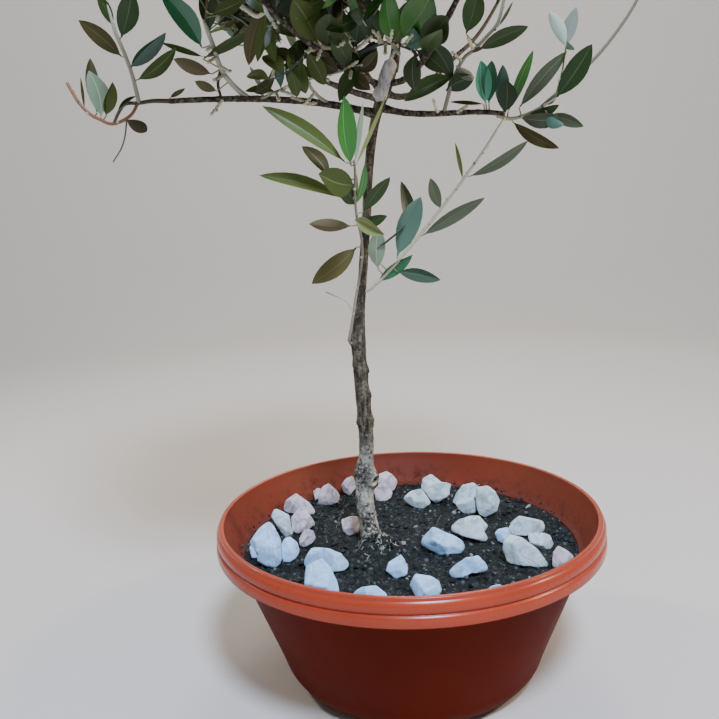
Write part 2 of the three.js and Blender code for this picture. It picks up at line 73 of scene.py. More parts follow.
def startMaterial(name, hexColour, shine):
    material = bpy.data.materials.new(name)
    material.use_nodes = True
    shader = material.node_tree.nodes["Principled BSDF"]
    shader.inputs["Base Color"].default_value = linear(hexColour)
    for socket, value in shine.items():
        shader.inputs[socket].default_value = value
    return material


# Links what a material's own nodes give to its shader
def feedShader(material, sockets):
    shader = material.node_tree.nodes["Principled BSDF"]
    for name, socket in sockets.items():
        material.node_tree.links.new(socket, shader.inputs[name])
    return material


# One plain finish for each colour, numbered from 0
def plainFinishes(name, hexColours, shine):
    return [startMaterial(f"{name}_{index}", hexColour, shine) for index, hexColour in enumerate(hexColours)]


def addObject(name, data):
    made = bpy.data.objects.new(name, data)
    bpy.context.scene.collection.objects.link(made)
    return made


# Gives a finished mesh, still in millimetres, its materials, its body and the solids it stands for
def addPiece(name, mesh, materials, nodes=(), sharpDeg=40):
    mesh.transform(Matrix.Scale(mm, 4))
    for material in materials:
        mesh.materials.append(material)
    mesh.shade_smooth()
    mesh.set_sharp_from_angle(angle=math.radians(sharpDeg))
    piece = addObject(name, mesh)
    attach(piece, "root")
    if nodes:
        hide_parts(*nodes)
    return piece


def meshFrom(bm, name):
    mesh = bpy.data.meshes.new(name)
    bm.to_mesh(mesh)
    bm.free()
    return mesh


def lerp(low, high, share):
    return low + (high - low) * share


# The level direction at a bearing
def compass(bearing):
    return np.array([math.cos(bearing), math.sin(bearing), 0])


def unit(vector):
    vector = np.array(vector, float)
    return vector / np.linalg.norm(vector)


# What is left of a direction once it is square to a spine
def squareTo(spine, direction):
    return unit(direction - spine * (direction @ spine))


# A direction leaned away from a spine, on the side that the turn gives
def leaned(spine, turn, lean):
    level = np.array([1.0, 0, 0]) if abs(spine[2]) > 0.95 else np.array([0, 0, 1.0])
    side = unit(np.cross(spine, level))
    out = side * math.cos(turn) + np.cross(spine, side) * math.sin(turn)
    return spine * math.cos(lean) + out * math.sin(lean)


# A repeatable source of numbers from 0 to 1, the same as the solids grow by
def drawFrom(seed):
    state = [seed]

    def draw():
        state[0] = state[0] * 16807 % 2147483647
        return state[0] / 2147483647
    return draw


# Camera: where the photograph was taken from, found from the bowl's two rim ellipses
cameraView = {
    "stands": (0, -592.7, 361.4),
    "pitchDeg": 10.74,
    "yawDeg": 3.21,
    "rollDeg": 2.46,
    "focalPixels": 795.2,
    "imagePixels": 719,
    "sensor": 36,
}
cameraTurn = (
    Matrix.Rotation(math.radians(cameraView["yawDeg"]), 3, "Z")
    @ Matrix.Rotation(math.radians(90 - cameraView["pitchDeg"]), 3, "X")
    @ Matrix.Rotation(-math.radians(cameraView["rollDeg"]), 3, "Z")
)


def addCamera():
    data = bpy.data.cameras.new("photo_camera")
    data.sensor_width = cameraView["sensor"]
    data.lens = cameraView["focalPixels"] / cameraView["imagePixels"] * data.sensor_width
    camera = addObject("photo_camera", data)
    camera.matrix_world = Matrix.Translation(Vector(cameraView["stands"]) * mm) @ cameraTurn.to_4x4()
    bpy.context.scene.camera = camera


# The way a pixel of the photograph looks, as a direction in the plant's frame
def pixelRay(px, py):
    centre = cameraView["imagePixels"] / 2
    return cameraTurn @ Vector((px - centre, centre - py, -cameraView["focalPixels"]))


depthAxis, heightAxis = 1, 2


# The point seen at a pixel, at a depth given by its y, or at a height given by its z
def photoSpot(px, py, place, axis=depthAxis):
    ray = pixelRay(px, py)
    stands = Vector(cameraView["stands"])
    return np.array(stands + ray * ((place - stands[axis]) / ray[axis]))


# The pixels at which points of the plant are seen
def pixelsOf(spots):
    seen = (np.atleast_2d(spots) - np.array(cameraView["stands"])) @ np.array(cameraTurn)
    scale = cameraView["focalPixels"] / -seen[:, 2]
    centre = cameraView["imagePixels"] / 2
    return np.stack([centre + seen[:, 0] * scale, centre - seen[:, 1] * scale], 1)


addCamera()
print("camera placed")

# Studio: a pale floor that sweeps up into a round wall, a soft cool lamp high in front, weaker and warmer
# ones round the plant, and one for the wall. Lengths here are in metres.
studio = {
    "floorColour": "#d2cfc9",
    "wallRadius": 2.9,
    "wallHeight": 2.4,
    "sweep": 1.2,
    "sweepSegments": 24,
    "turns": 64,
    "worldColour": "#e8ebf0",
    "worldStrength": 0.16,
    "lamps": {
        "key": {"at": (0.25, -0.95, 1.5), "aim": (0, 0, 0.2), "size": 0.34, "watts": 46, "colour": "#d0e0ff"},
        "left": {"at": (-1.0, 0.42, 0.95), "aim": (0, 0, 0.2), "size": 0.16, "watts": 6, "colour": "#fff4e8"},
        "right": {"at": (1.1, -0.13, 0.95), "aim": (0, 0, 0.2), "size": 0.14, "watts": 8,
                  "colour": "#ffe6c8"},
        "back": {"at": (0.1, 1.2, 1.25), "aim": (0, 0, 0.2), "size": 0.5, "watts": 5, "colour": "#fff0e4"},
        "wall": {"at": (0, 0.9, 2.1), "aim": (0, 2.9, 0.9), "size": 1.0, "watts": 34, "colour": "#fff8f0"},
    },
}


# Turns a section round the upright axis. A corner is a radius, a height and the radius that rounds it off.
def turned(section, segments, turns):
    bm = bmesh.new()
    spots = [bm.verts.new((radius, 0, height)) for radius, height, _ in section]
    for low, high in zip(spots, spots[1:]):
        bm.edges.new((low, high))
    for spot, (_, _, rounding) in zip(spots, section):
        if rounding:
            bmesh.ops.bevel(bm, geom=[spot], offset=rounding, offset_type="OFFSET", segments=segments,
                            profile=0.5, affect="VERTICES", material=-1)
    bmesh.ops.spin(bm, geom=bm.verts[:] + bm.edges[:], cent=(0, 0, 0), axis=(0, 0, 1), steps=turns,
                   angle=math.tau, use_merge=True)
    bmesh.ops.remove_doubles(bm, verts=bm.verts, dist=0.001)
    bmesh.ops.recalc_face_normals(bm, faces=bm.faces)
    return bm


def addStudio():
    radius, height = studio["wallRadius"], studio["wallHeight"]
    section = [(0, 0, 0), (radius, 0, studio["sweep"]), (radius, height, 0)]
    mesh = meshFrom(turned(section, studio["sweepSegments"], studio["turns"]), "studio_floor")
    mesh.shade_smooth()
    floor = addObject("studio_floor", mesh)
    mesh.materials.append(startMaterial("matt_paper", studio["floorColour"], {"Roughness": 0.95}))
    for name, lamp in studio["lamps"].items():
        data = bpy.data.lights.new(name + "_lamp", "AREA")
        data.shape = "DISK"
        data.size = lamp["size"]
        data.energy = lamp["watts"]
        data.color = linear(lamp["colour"])[:3]
        light = addObject(name + "_lamp", data)
        light.location = lamp["at"]
        light.rotation_euler = (Vector(lamp["aim"]) - light.location).to_track_quat("-Z", "Y").to_euler()
    world = bpy.data.worlds.new("studio_light")
    world.use_nodes = True
    background = world.node_tree.nodes["Background"]
    background.inputs["Color"].default_value = linear(studio["worldColour"])
    background.inputs["Strength"].default_value = studio["worldStrength"]
    bpy.context.scene.world = world


addStudio()
print("studio ready")

# Bowl: corners of its section from the underside's middle, up the outside, over the rim and down inside,
# each with the radius that rounds it off
bowl = {
    # deepColour and insideColour are the rim's plastic darkened: painted shade on the body and the inside
    # wall
    "deepColour": "#5f1b08",
    "rimColour": "#ad4229",
    "insideColour": "#803621",
    "dustColour": "#3a2d29",
    "gloss": {"deep": 0.5, "rim": 0.2, "inside": 0.4},
    "sheen": {"deep": 0.04, "rim": 0.34, "inside": 0.25},
    "darker": 0.8,
    "ledgeDust": 0.6,
    "wallDust": {"low": 0.8, "high": 0.05, "from": 102, "to": 124},
    "rimFrom": 110,
    "insideRadius": 143.3,
    "insideFrom": 90,
    "cornerSegments": 5,
    "turns": 144,
    "section": [
        (0, 1.5, 0), (76, 1.5, 0.7), (77.5, 0, 0.5), (87, 0, 4), (101, 9.5, 9), (104.2, 22, 8),
        (137, 109, 1.6), (138.3, 113.5, 1.4), (146.2, 113.5, 1), (147, 108.9, 0.7), (149.5, 108.9, 1.1),
        (150, 112.6, 3), (149.4, 116.5, 1.4), (147.5, 117.9, 0.4), (149.1, 119.3, 1.3), (149.2, 124.4, 2.2),
        (146.9, 126.7, 0.4), (146.9, 128.9, 1.1), (143.4, 129, 1.2), (142, 125, 3), (137.2, 114.5, 4),
        (132.2, 103.6, 1.2), (129.8, 102.4, 0.8), (100.5, 25, 6), (96, 8, 3), (89, 4, 2), (0, 4, 0),
    ],
}


# Injection-moulded polypropylene: even colour, soft gloss and faint orange peel. The body and the inside
# wall get darker copies of the rim's colour: painted shade. Inside, the soil poured in has left dust and
# specks that thin out above it.
def polypropyleneLitAndShadedCopies(part):
    full = linear(bowl[part + "Colour"])
    material = startMaterial(f"polypropylene_lit_and_shaded_copy_{part}", bowl[part + "Colour"],
                             {"IOR": 1.49, "Specular IOR Level": bowl["sheen"][part]})
    tree = material.node_tree
    place = addNode(tree, "TexCoord", out="Object")
    flow = addNode(tree, "TexNoise", {"Vector": place, "Scale": 1 / 0.09, "Detail": 2})
    colour = addNode(tree, "ValToRGB", {"Fac": flow},
                     stops=[(0.35, [bowl["darker"] * channel for channel in full[:3]] + [1]), (0.65, full)])
    smear = addNode(tree, "TexNoise", {"Vector": place, "Scale": 1 / 0.03, "Detail": 4})
    gloss = bowl["gloss"][part]
    rough = addNode(tree, "MapRange", {"Value": smear, "From Min": 0.3, "From Max": 0.75,
                                       "To Min": gloss, "To Max": gloss + 0.1})
    if part == "inside":
        dusty = bowl["wallDust"]
        height = addNode(tree, "SeparateXYZ", {"Vector": place}, out="Z")
        low = addNode(tree, "MapRange", {"Value": height, "From Min": dusty["from"] * mm,
                                         "From Max": dusty["to"] * mm, "To Min": dusty["low"],
                                         "To Max": dusty["high"]})
        splash = addNode(tree, "TexNoise", {"Vector": place, "Scale": 1 / 0.007, "Detail": 6,
                                            "Roughness": 0.7})
        specks = addNode(tree, "MapRange", {"Value": splash, "From Min": 0.46, "From Max": 0.66})
        dust = addNode(tree, "Math", {0: low, 1: specks}, operation="MULTIPLY")
        facing = addNode(tree, "NewGeometry", out="Normal")
        upward = addNode(tree, "SeparateXYZ", {"Vector": facing}, out="Z")
        settled = addNode(tree, "MapRange", {"Value": upward, "From Min": 0.4, "From Max": 0.9,
                                             "To Max": bowl["ledgeDust"]})
        dust = addNode(tree, "Math", {0: dust, 1: settled}, operation="MAXIMUM")
        colour = addNode(tree, "Mix", {"Factor": dust, "A": colour, "B": bowl["dustColour"]},
                         out=2, data_type="RGBA")
        rough = addNode(tree, "Math", {0: rough, 1: dust}, operation="ADD", use_clamp=True)
    peel = addNode(tree, "TexNoise", {"Vector": place, "Scale": 1 / 0.0022, "Detail": 2})
    bump = addNode(tree, "Bump", {"Height": peel, "Strength": 0.1, "Distance": 0.0002})
    return feedShader(material, {"Base Color": colour, "Roughness": rough, "Normal": bump})


def addBowl():
    bm = turned(bowl["section"], bowl["cornerSegments"], bowl["turns"])
    for face in bm.faces:
        middle = face.calc_center_median()
        out = Vector((middle.x, middle.y, 0))
        within = out.length < bowl["insideRadius"] and middle.z > bowl["insideFrom"]
        if within and face.normal.dot(out) < 0:
            face.material_index = 2
        elif middle.z > bowl["rimFrom"]:
            face.material_index = 1
    # The rim keeps the plastic's colour; the body and the inside wall get darker copies of it, painted shade
    finishes = [polypropyleneLitAndShadedCopies(part) for part in ("deep", "rim", "inside")]
    addPiece("bowl", meshFrom(bm, "bowl"), finishes, ["pot"], 50)


addBowl()
print("bowl turned")

# Soil: a disc of clods and crumbs, a little higher round the trunk and a touch lower along the wall
soilBed = {
    "colour": "#212625",
    "dampColour": "#090b0b",
    "dryColour": "#56605e",
    "radius": 129.3,
    "top": 101.2,
    "squares": 215,
    "swell": 1.6,
    "swellLength": 45,
    "clod": 7.5,
    "clodHeight": 3,
    "crumb": 2.4,
    "crumbHeight": 1.5,
    "mound": 17,
    "moundRadius": 17,
    "moundAt": (-24, -22),
    "wallDrop": 0.4,
    "wallReach": 14,
    "sides": [(103, 25), (89.5, 4.4)],
}


def soilHeight(x, y):
    long = soilBed["swellLength"]
    swell = noise.noise(Vector((x / long, y / long, 0))) * soilBed["swell"]
    clods = noise.voronoi(Vector((x, y, 3)) / soilBed["clod"])[0]
    near = 1 - min(clods[0], 1)
    crumbs = noise.fractal(Vector((x, y, 9)) / soilBed["crumb"], 0.7, 2.2, 3)
    away = math.hypot(x - soilBed["moundAt"][0], y - soilBed["moundAt"][1]) / soilBed["moundRadius"]
    edge = max(0, math.hypot(x, y) - soilBed["radius"] + soilBed["wallReach"]) / soilBed["wallReach"]
    lift = soilBed["mound"] * math.exp(-away * away) - soilBed["wallDrop"] * edge * edge
    return (soilBed["top"] + swell + lift + soilBed["clodHeight"] * (near - 0.5)
            + soilBed["crumbHeight"] * crumbs)


# Puts a point on the soil, lifted a little
def onSoil(spot, lift):
    spot[2] = soilHeight(spot[0], spot[1]) + lift
    return spot


# Potting soil: dark peat with drier crumbs, no shine
def pottingSoil():
    material = startMaterial("potting_soil", soilBed["colour"], {"Specular IOR Level": 0.25})
    tree = material.node_tree
    place = addNode(tree, "TexCoord", out="Object")
    grain = addNode(tree, "TexNoise", {"Vector": place, "Scale": 1 / 0.004, "Detail": 6, "Roughness": 0.7})
    tone = addNode(tree, "ValToRGB", {"Fac": grain},
                   stops=[(0.32, soilBed["dampColour"]), (0.55, soilBed["colour"]),
                          (0.74, soilBed["dryColour"])])
    damp = addNode(tree, "TexNoise", {"Vector": place, "Scale": 1 / 0.05})
    rough = addNode(tree, "MapRange", {"Value": damp, "To Min": 0.7, "To Max": 1})
    bump = addNode(tree, "Bump", {"Height": grain, "Strength": 0.7, "Distance": 0.0012})
    return feedShader(material, {"Base Color": tone, "Roughness": rough, "Normal": bump})


def addSoil(material):
    bm = bmesh.new()
    bmesh.ops.create_grid(bm, x_segments=soilBed["squares"], y_segments=soilBed["squares"], size=1)
    for vert in bm.verts:
        x, y = vert.co.x, vert.co.y
        reach = soilBed["radius"]
        vert.co.x = x * math.sqrt(1 - y * y / 2) * reach
        vert.co.y = y * math.sqrt(1 - x * x / 2) * reach
        vert.co.z = soilHeight(vert.co.x, vert.co.y)
    rim = [edge for edge in bm.edges if edge.is_boundary]
    for radius, height in soilBed["sides"]:
        made = bmesh.ops.extrude_edge_only(bm, edges=rim)["geom"]
        for vert in [part for part in made if isinstance(part, bmesh.types.BMVert)]:
            vert.co *= radius / math.hypot(vert.co.x, vert.co.y)
            vert.co.z = height
        rim = [part for part in made if isinstance(part, bmesh.types.BMEdge)]
    bmesh.ops.holes_fill(bm, edges=[edge for edge in bm.edges if edge.is_boundary], sides=0)
    bmesh.ops.recalc_face_normals(bm, faces=bm.faces)
    addPiece("soil_bed", meshFrom(bm, "soil_bed"), [material], ["soil"], 60)


# Many copies of small shapes in one mesh: a shape is its corners, its faces and a finish for each face
def joinCopies(name, copies):
    corners, faces, finishes = [], [], []
    start = 0
    for (shapeCorners, shapeFaces, shapeFinishes), turn, spot in copies:
        corners.append(shapeCorners @ turn.T + spot)
        faces += [[corner + start for corner in face] for face in shapeFaces]
        finishes += shapeFinishes
        start += len(shapeCorners)
    mesh = bpy.data.meshes.new(name)
    mesh.from_pydata(np.vstack(corners).tolist(), [], faces)
    mesh.polygons.foreach_set("material_index", finishes)
    mesh.update()
    return mesh


# A shape that already stands where it belongs, as a copy
def inPlace(shape):
    return shape, np.eye(3), np.zeros(3)


# A bmesh as the shape that joinCopies takes
def shapeOf(bm):
    bm.verts.index_update()
    corners = np.array([vert.co for vert in bm.verts])
    faces = [[vert.index for vert in face.verts] for face in bm.faces]
    finishes = [face.material_index for face in bm.faces]
    bm.free()
    return corners, faces, finishes


def turnFrom(draw):
    spin = Matrix.Rotation(math.tau * draw(), 3, "Z") @ Matrix.Rotation(math.pi * draw(), 3, "X")
    return np.array(spin)


# Sizes in mm. Crumbs on the wall lie on its steps: a rise above their foot, and the wall's radius there.
crumbs = {
    "count": 3200,
    "least": 0.5,
    "most": 2.4,
    "proud": 0.2,
    "shapes": 4,
    "onWall": 170,
    "wallFoot": 102.6,
    "wallRise": 11,
    "wallSize": (0.3, 0.9),
    "wallSteps": [(0, 131.3), (3.4, 131.6), (3.6, 137.6), (12, 139.6)],
    "colour": "#464e4c",
    "dryEvery": 4,
    "paleColour": "#868f8e",
    "paleEvery": 23,
    "barkBits": 70,
    "barkSpread": 120,
    "barkSize": (0.25, 0.6),
    "barkLift": 0.5,
    "barkColour": "#4d4439",
}


def pebbleShape(seed, stretch):
    bm = bmesh.new()
    bmesh.ops.create_icosphere(bm, subdivisions=1, radius=1)
    draw = drawFrom(seed)
    for vert in bm.verts:
        vert.co *= 0.7 + 0.5 * draw()
        vert.co.x *= stretch
    return shapeOf(bm)


# Loose crumbs over the soil, some stuck to the wall above it, and dead bits of bark among them
def addCrumbs(material):
    draw = drawFrom(71)
    shapes = [pebbleShape(500 + index, 1 + 0.25 * index) for index in range(crumbs["shapes"])]
    loose = []
    for index in range(crumbs["count"]):
        flat = soilBed["radius"] * math.sqrt(draw()) * compass(math.tau * draw())
        size = lerp(crumbs["least"], crumbs["most"], draw() ** 4)
        spot = onSoil(flat, crumbs["proud"] * size)
        loose.append((shapes[index % len(shapes)], turnFrom(draw) * size, spot))
    for index in range(crumbs["onWall"]):
        way = compass(math.tau * draw())
        rise = crumbs["wallRise"] * draw() ** 2
        spot = np.interp(rise, *zip(*crumbs["wallSteps"])) * way
        size = crumbs["wallSize"][0] + crumbs["wallSize"][1] * draw() ** 2
        spot[2] = crumbs["wallFoot"] + rise
        loose.append((shapes[index % len(shapes)], turnFrom(draw) * size, spot))
    dull = {"Roughness": 0.6, "Specular IOR Level": 0.4}
    dry = startMaterial("dry_crumbs", crumbs["colour"], dull)
    pale = startMaterial("pale_crumbs", crumbs["paleColour"], dull)
    for index, (shape, turn, spot) in enumerate(loose):
        finish = 2 if index % crumbs["paleEvery"] == 0 else int(index % crumbs["dryEvery"] == 0)
        loose[index] = ((shape[0], shape[1], [finish] * len(shape[1])), turn, spot)
    addPiece("soil_crumbs", joinCopies("soil_crumbs", loose), [material, dry, pale], (), 60)
    bits = []
    sliver = pebbleShape(77, 3.4)
    for index in range(crumbs["barkBits"]):
        flat = crumbs["barkSpread"] * math.sqrt(draw()) * compass(math.tau * draw())
        turn = np.array(Matrix.Rotation(math.tau * draw(), 3, "Z"))
        size = crumbs["barkSize"][0] + crumbs["barkSize"][1] * draw() ** 2
        bits.append((sliver, turn * size, onSoil(flat, crumbs["barkLift"])))
    bark = startMaterial("bark_bits", crumbs["barkColour"], {"Roughness": 0.9, "Specular IOR Level": 0.2})
    addPiece("bark_bits", joinCopies("bark_bits", bits), [bark], (), 60)


soilFinish = pottingSoil()
addSoil(soilFinish)
addCrumbs(soilFinish)
print("soil filled")

# Marble chips. Each keeps its outline in the photograph's pixels, which stands on the soil at its lowest
# pixel, and is broken by flats in front of that outline and behind it. Depths are shares of how far the
# outline reaches. A finish is its colour, its veins and the chips that have it: the first goes to all,
# then the others to theirs.
marbleChips = {
    "finishes": {
        # The first finish's blue, kept by the front chips, is painted cool light
        "marble_painted_cool_light": ("#b2dcff", "#99bedb", []),
        # The grey and rosy finishes are less blue: partly the chips' own tint and partly painted warmer light
        "grey_marble": ("#c6d9de", "#a3b4b9", [
            "back_low", "back_tall", "cluster_back", "cluster_right", "cluster_front", "middle_right",
            "right_top", "right_side", "right_big", "left_tall"]),
        "rosy_marble": ("#d5cbd0", "#a99fa9", [
            "rosy", "back_small", "behind_trunk_far", "behind_trunk_near", "left_far", "far_tiny",
            "trunk_side", "left_middle", "left_low", "right_edge"]),
    },
    "stainColour": "#444b50",
    "fineness": 5,
    "frontBreaks": 4,
    "backBreaks": 3,
    "breakLean": (26, 54),
    "capLean": 22,
    "frontDepth": 0.44,
    "backDepth": 0.85,
    "sunk": 2.5,
    "softening": 2,
    "swell": 1.02,
    "lump": 6,
    "lumpHeight": 0.5,
    "grain": 1.3,
    "grainHeight": 0.13,
    "outlines": {
        "left_far": [
            (283, 511), (286, 501), (296, 493), (308, 502), (316, 511), (313, 515), (302, 515), (288, 513)],
        "left_middle": [(291, 518), (299, 508), (307, 511), (315, 523), (309, 529), (298, 534), (292, 531)],
        "left_tall": [
            (275, 508), (289, 515), (291, 525), (293, 533), (290, 537), (285, 538), (277, 526), (271, 517)],
        "left_big": [
            (269, 520), (274, 527), (281, 540), (281, 552), (267, 557), (257, 553), (249, 542), (258, 530)],
        "left_front": [
            (260, 542), (270, 539), (280, 544), (282, 557), (280, 564), (275, 568), (267, 567), (257, 561)],
        "left_round": [
            (281, 545), (285, 538), (290, 537), (297, 542), (300, 552), (296, 558), (290, 562), (283, 562)],
        "left_low": [
            (304, 531), (308, 529), (313, 531), (316, 538), (313, 543), (303, 548), (299, 545), (299, 539)],
        "front_pair_back": [
            (312, 547), (330, 549), (341, 554), (348, 562), (349, 567), (344, 571), (326, 573), (309, 569),
            (304, 566), (305, 559)],
        "front_pair_near": [
            (306, 566), (322, 558), (332, 570), (337, 581), (340, 592), (328, 595), (304, 590)],
        "front_hidden": [
            (352, 594), (362, 587), (376, 586), (385, 592), (388, 598), (370, 602), (356, 600)],
        "rosy": [
            (328, 483), (337, 491), (340, 496), (339, 502), (328, 506), (318, 505), (319, 496), (321, 488)],
        "back_small": [(352, 476), (355, 481), (356, 488), (349, 496), (344, 492), (341, 486), (346, 478)],
        "behind_trunk_far": [
            (379, 474), (386, 471), (392, 474), (398, 482), (394, 490), (384, 493), (378, 487)],
        "behind_trunk_near": [
            (374, 490), (379, 485), (388, 485), (393, 492), (391, 498), (386, 501), (376, 501)],
        "trunk_side": [(341, 520), (351, 516), (358, 517), (360, 526), (358, 533), (349, 536), (343, 531)],
        "back_low": [
            (403, 499), (410, 491), (422, 489), (427, 497), (431, 503), (423, 509), (415, 508), (407, 503)],
        "back_tall": [(421, 488), (423, 478), (431, 474), (441, 482), (452, 484), (449, 490), (450, 494),
                      (442, 500), (436, 504), (431, 500), (425, 492)],
        "cluster_back": [(452, 503), (456, 494), (463, 485), (473, 483), (479, 487), (481, 497), (476, 504),
                         (462, 506)],
        "cluster_right": [
            (477, 487), (488, 486), (495, 492), (500, 500), (497, 511), (485, 518), (478, 514), (476, 500)],
        "cluster_front": [
            (455, 503), (460, 499), (473, 497), (478, 507), (475, 513), (465, 514), (458, 509)],
        "middle_right": [(450, 527), (458, 520), (469, 516), (479, 516), (488, 526), (484, 532), (488, 538),
                         (485, 542), (466, 537), (453, 532)],
        "middle_big": [(421, 539), (433, 527), (456, 537), (464, 542), (465, 548), (461, 554), (439, 555),
                       (421, 545)],
        "middle_front": [(448, 572), (454, 566), (466, 558), (478, 556), (485, 563), (488, 569), (484, 573),
                         (472, 573), (461, 578), (453, 578)],
        "front_single": [
            (386, 571), (389, 562), (401, 554), (404, 559), (408, 568), (407, 575), (396, 579)],
        "front_round": [(409, 585), (416, 574), (431, 576), (439, 581), (442, 590), (438, 597), (416, 597)],
        "front_edge": [(481, 594), (491, 586), (499, 584), (507, 588), (505, 595), (490, 599)],
        "right_top": [(508, 527), (514, 520), (519, 516), (543, 521), (545, 527), (543, 533), (526, 536),
                      (510, 535)],
        "right_side": [(527, 533), (544, 533), (550, 536), (554, 544), (551, 549), (543, 550), (530, 543)],
        "right_big": [(509, 534), (522, 538), (537, 549), (543, 557), (550, 567), (532, 567), (512, 564),
                      (507, 562), (503, 549), (504, 542)],
        "right_edge": [(558, 546), (566, 550), (575, 557), (561, 566), (557, 569), (552, 566), (553, 552)],
        "far_tiny": [(313, 491), (317, 488), (322, 489), (321, 500), (315, 501)],
        "left_tiny": [(249, 548), (252, 542), (260, 545), (259, 558), (252, 558)],
        "right_tiny": [(495, 533), (498, 529), (508, 527), (511, 536), (503, 543), (498, 541)],
    },
}


# Broken marble: white and sugary on a fresh break, with faint grey veins and a little soil in its pits
def brokenMarble(name, hexColour, veinColour):
    # hexColour and veinColour bring the finish's tint: bluish on the front chips as painted cool light
    material = startMaterial(name, hexColour, {"IOR": 1.5, "Roughness": 0.6})
    tree = material.node_tree
    place = addNode(tree, "TexCoord", out="Object")
    cloud = addNode(tree, "TexNoise", {"Vector": place, "Scale": 1 / 0.016, "Detail": 5, "Distortion": 1.2})
    vein = addNode(tree, "ValToRGB", {"Fac": cloud},
                   stops=[(0.38, hexColour), (0.46, veinColour), (0.53, hexColour)])
    pits = addNode(tree, "TexNoise", {"Vector": place, "Scale": 1 / 0.0035, "Detail": 3})
    dirt = addNode(tree, "MapRange", {"Value": pits, "From Min": 0.68, "From Max": 0.75, "To Max": 0.8})
    colour = addNode(tree, "Mix", {"Factor": dirt, "A": vein, "B": marbleChips["stainColour"]},
                     out=2, data_type="RGBA")
    sugar = addNode(tree, "TexNoise", {"Vector": place, "Scale": 1 / 0.0012, "Detail": 3})
    bump = addNode(tree, "Bump", {"Height": sugar, "Strength": 0.3, "Distance": 0.0004})
    return feedShader(material, {"Base Color": colour, "Normal": bump})


# Presses a fine ball from inside onto the outline, seen from the camera, and onto the flats
def breakChip(outline, seed):
    draw = drawFrom(seed)
    foot = photoSpot(*max(outline, key=lambda pixel: pixel[1]), soilBed["top"], heightAxis)
    stands = np.array(cameraView["stands"])
    toward = unit(stands - foot)
    across = unit(np.cross((0, 0, 1), toward))
    rise = np.cross(toward, across)
    rays = np.array([pixelRay(px, py) for px, py in outline])
    corners = stands + rays * (((foot - stands) @ toward) / (rays @ toward))[:, None]
    middle = corners.mean(0)
    steps = np.linspace(0, 1, 24, endpoint=False)[:, None]
    border = np.vstack([a + (b - a) * steps for a, b in zip(corners, np.roll(corners, -1, 0))]) - middle
    bearings = np.arctan2(border @ rise, border @ across)
    reaches = np.linalg.norm(border, axis=1)
    flats = [(np.array((0, 0, -1)), middle[2] - soilBed["top"] + marbleChips["sunk"])]
    for side, count, depth in ((1, marbleChips["frontBreaks"], marbleChips["frontDepth"]),
                               (-1, marbleChips["backBreaks"], marbleChips["backDepth"])):
        for index in range(count):
            bearing = math.tau * (index + draw()) / count
            lean = math.radians(lerp(*marbleChips["breakLean"], draw()))
            away = across * math.cos(bearing) + rise * math.sin(bearing)
            flats.append((side * toward * math.cos(lean) + away * math.sin(lean),
                          math.sin(lean) * (border @ away).max()))
        cap = leaned(side * toward, math.tau * draw(), math.radians(marbleChips["capLean"] * draw()))
        flats.append((cap, depth * reaches.mean()))
    bm = bmesh.new()
    bmesh.ops.create_icosphere(bm, subdivisions=marbleChips["fineness"], radius=1)
    ways = np.array([vert.co.normalized() for vert in bm.verts])
    level = np.hypot(ways @ across, ways @ rise)
    ring = zip(*sorted(zip(bearings, reaches)))
    limit = np.interp(np.arctan2(ways @ rise, ways @ across), *ring, period=math.tau)
    reach = limit / np.maximum(level, 0.02)
    for flat, distance in flats:
        reach = np.minimum(reach, distance / np.maximum(ways @ flat, 0.02))
    for vert, way, far in zip(bm.verts, ways, reach):
        vert.co = middle + way * far * marbleChips["swell"]
    for _ in range(marbleChips["softening"]):
        bmesh.ops.smooth_vert(bm, verts=bm.verts, factor=0.5, use_axis_x=True, use_axis_y=True,
                              use_axis_z=True)
    bm.normal_update()
    for vert in bm.verts:
        spot = vert.co + Vector((0, 0, seed))
        lump = noise.noise(spot / marbleChips["lump"]) * marbleChips["lumpHeight"]
        grain = noise.fractal(spot / marbleChips["grain"], 0.8, 2, 2) * marbleChips["grainHeight"]
        vert.co += vert.normal * (lump + grain)
    return meshFrom(bm, "chip")


def addChips():
    chosen = {}
    for kind, (colour, veinColour, names) in marbleChips["finishes"].items():
        finish = brokenMarble(kind, colour, veinColour)
        for name in names or marbleChips["outlines"]:
            chosen[name] = finish
    for index, (name, outline) in enumerate(marbleChips["outlines"].items()):
        node = "stone_" + name
        replaced = [node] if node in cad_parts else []
        addPiece("chip_" + name, breakChip(outline, 900 + index), [chosen[name]], replaced, 32)


addChips()
print("chips laid")


# A girth that runs evenly from one end of a limb to the other
def tapered(footSize, tipSize):
    return lambda along, bearing=0: lerp(footSize, tipSize, along)


# A limb: evenly spaced points along its course, and its girth anywhere along it
class Limb:
    def __init__(self, points, girth=None, count=64):
        points = np.array(points, float)
        run = np.concatenate([[0], np.cumsum(np.linalg.norm(np.diff(points, axis=0), axis=1))])
        self.length = run[-1]
        even = np.linspace(0, self.length, count + 1)
        self.points = np.stack([np.interp(even, run, points[:, axis]) for axis in range(3)], 1)
        self.girth = girth

    def at(self, along):
        spot = min(max(along, 0), 1) * (len(self.points) - 1)
        low = min(int(spot), len(self.points) - 2)
        return self.points[low] + (self.points[low + 1] - self.points[low]) * (spot - low)

    def heading(self, along):
        return unit(self.at(along + 0.01) - self.at(along - 0.01))

    # How far along the limb the point lies that shows nearest to a pixel
    def nearPixel(self, px, py):
        seen = pixelsOf(self.points)
        apart = np.hypot(seen[:, 0] - px, seen[:, 1] - py)
        return int(np.argmin(apart)) / (len(self.points) - 1)

    # The place, the heading and two directions square to it at each ring, carried along without twisting
    def rings(self, steps, front):
        frames = []
        across = np.array(front, float)
        for step in range(steps + 1):
            ahead = self.heading(step / steps)
            across = squareTo(ahead, across)
            frames.append((self.at(step / steps), ahead, across, np.cross(across, ahead)))
        return frames


def smoothstep(value, low, high):
    share = min(max((value - low) / (high - low), 0), 1)
    return share * share * (3 - 2 * share)


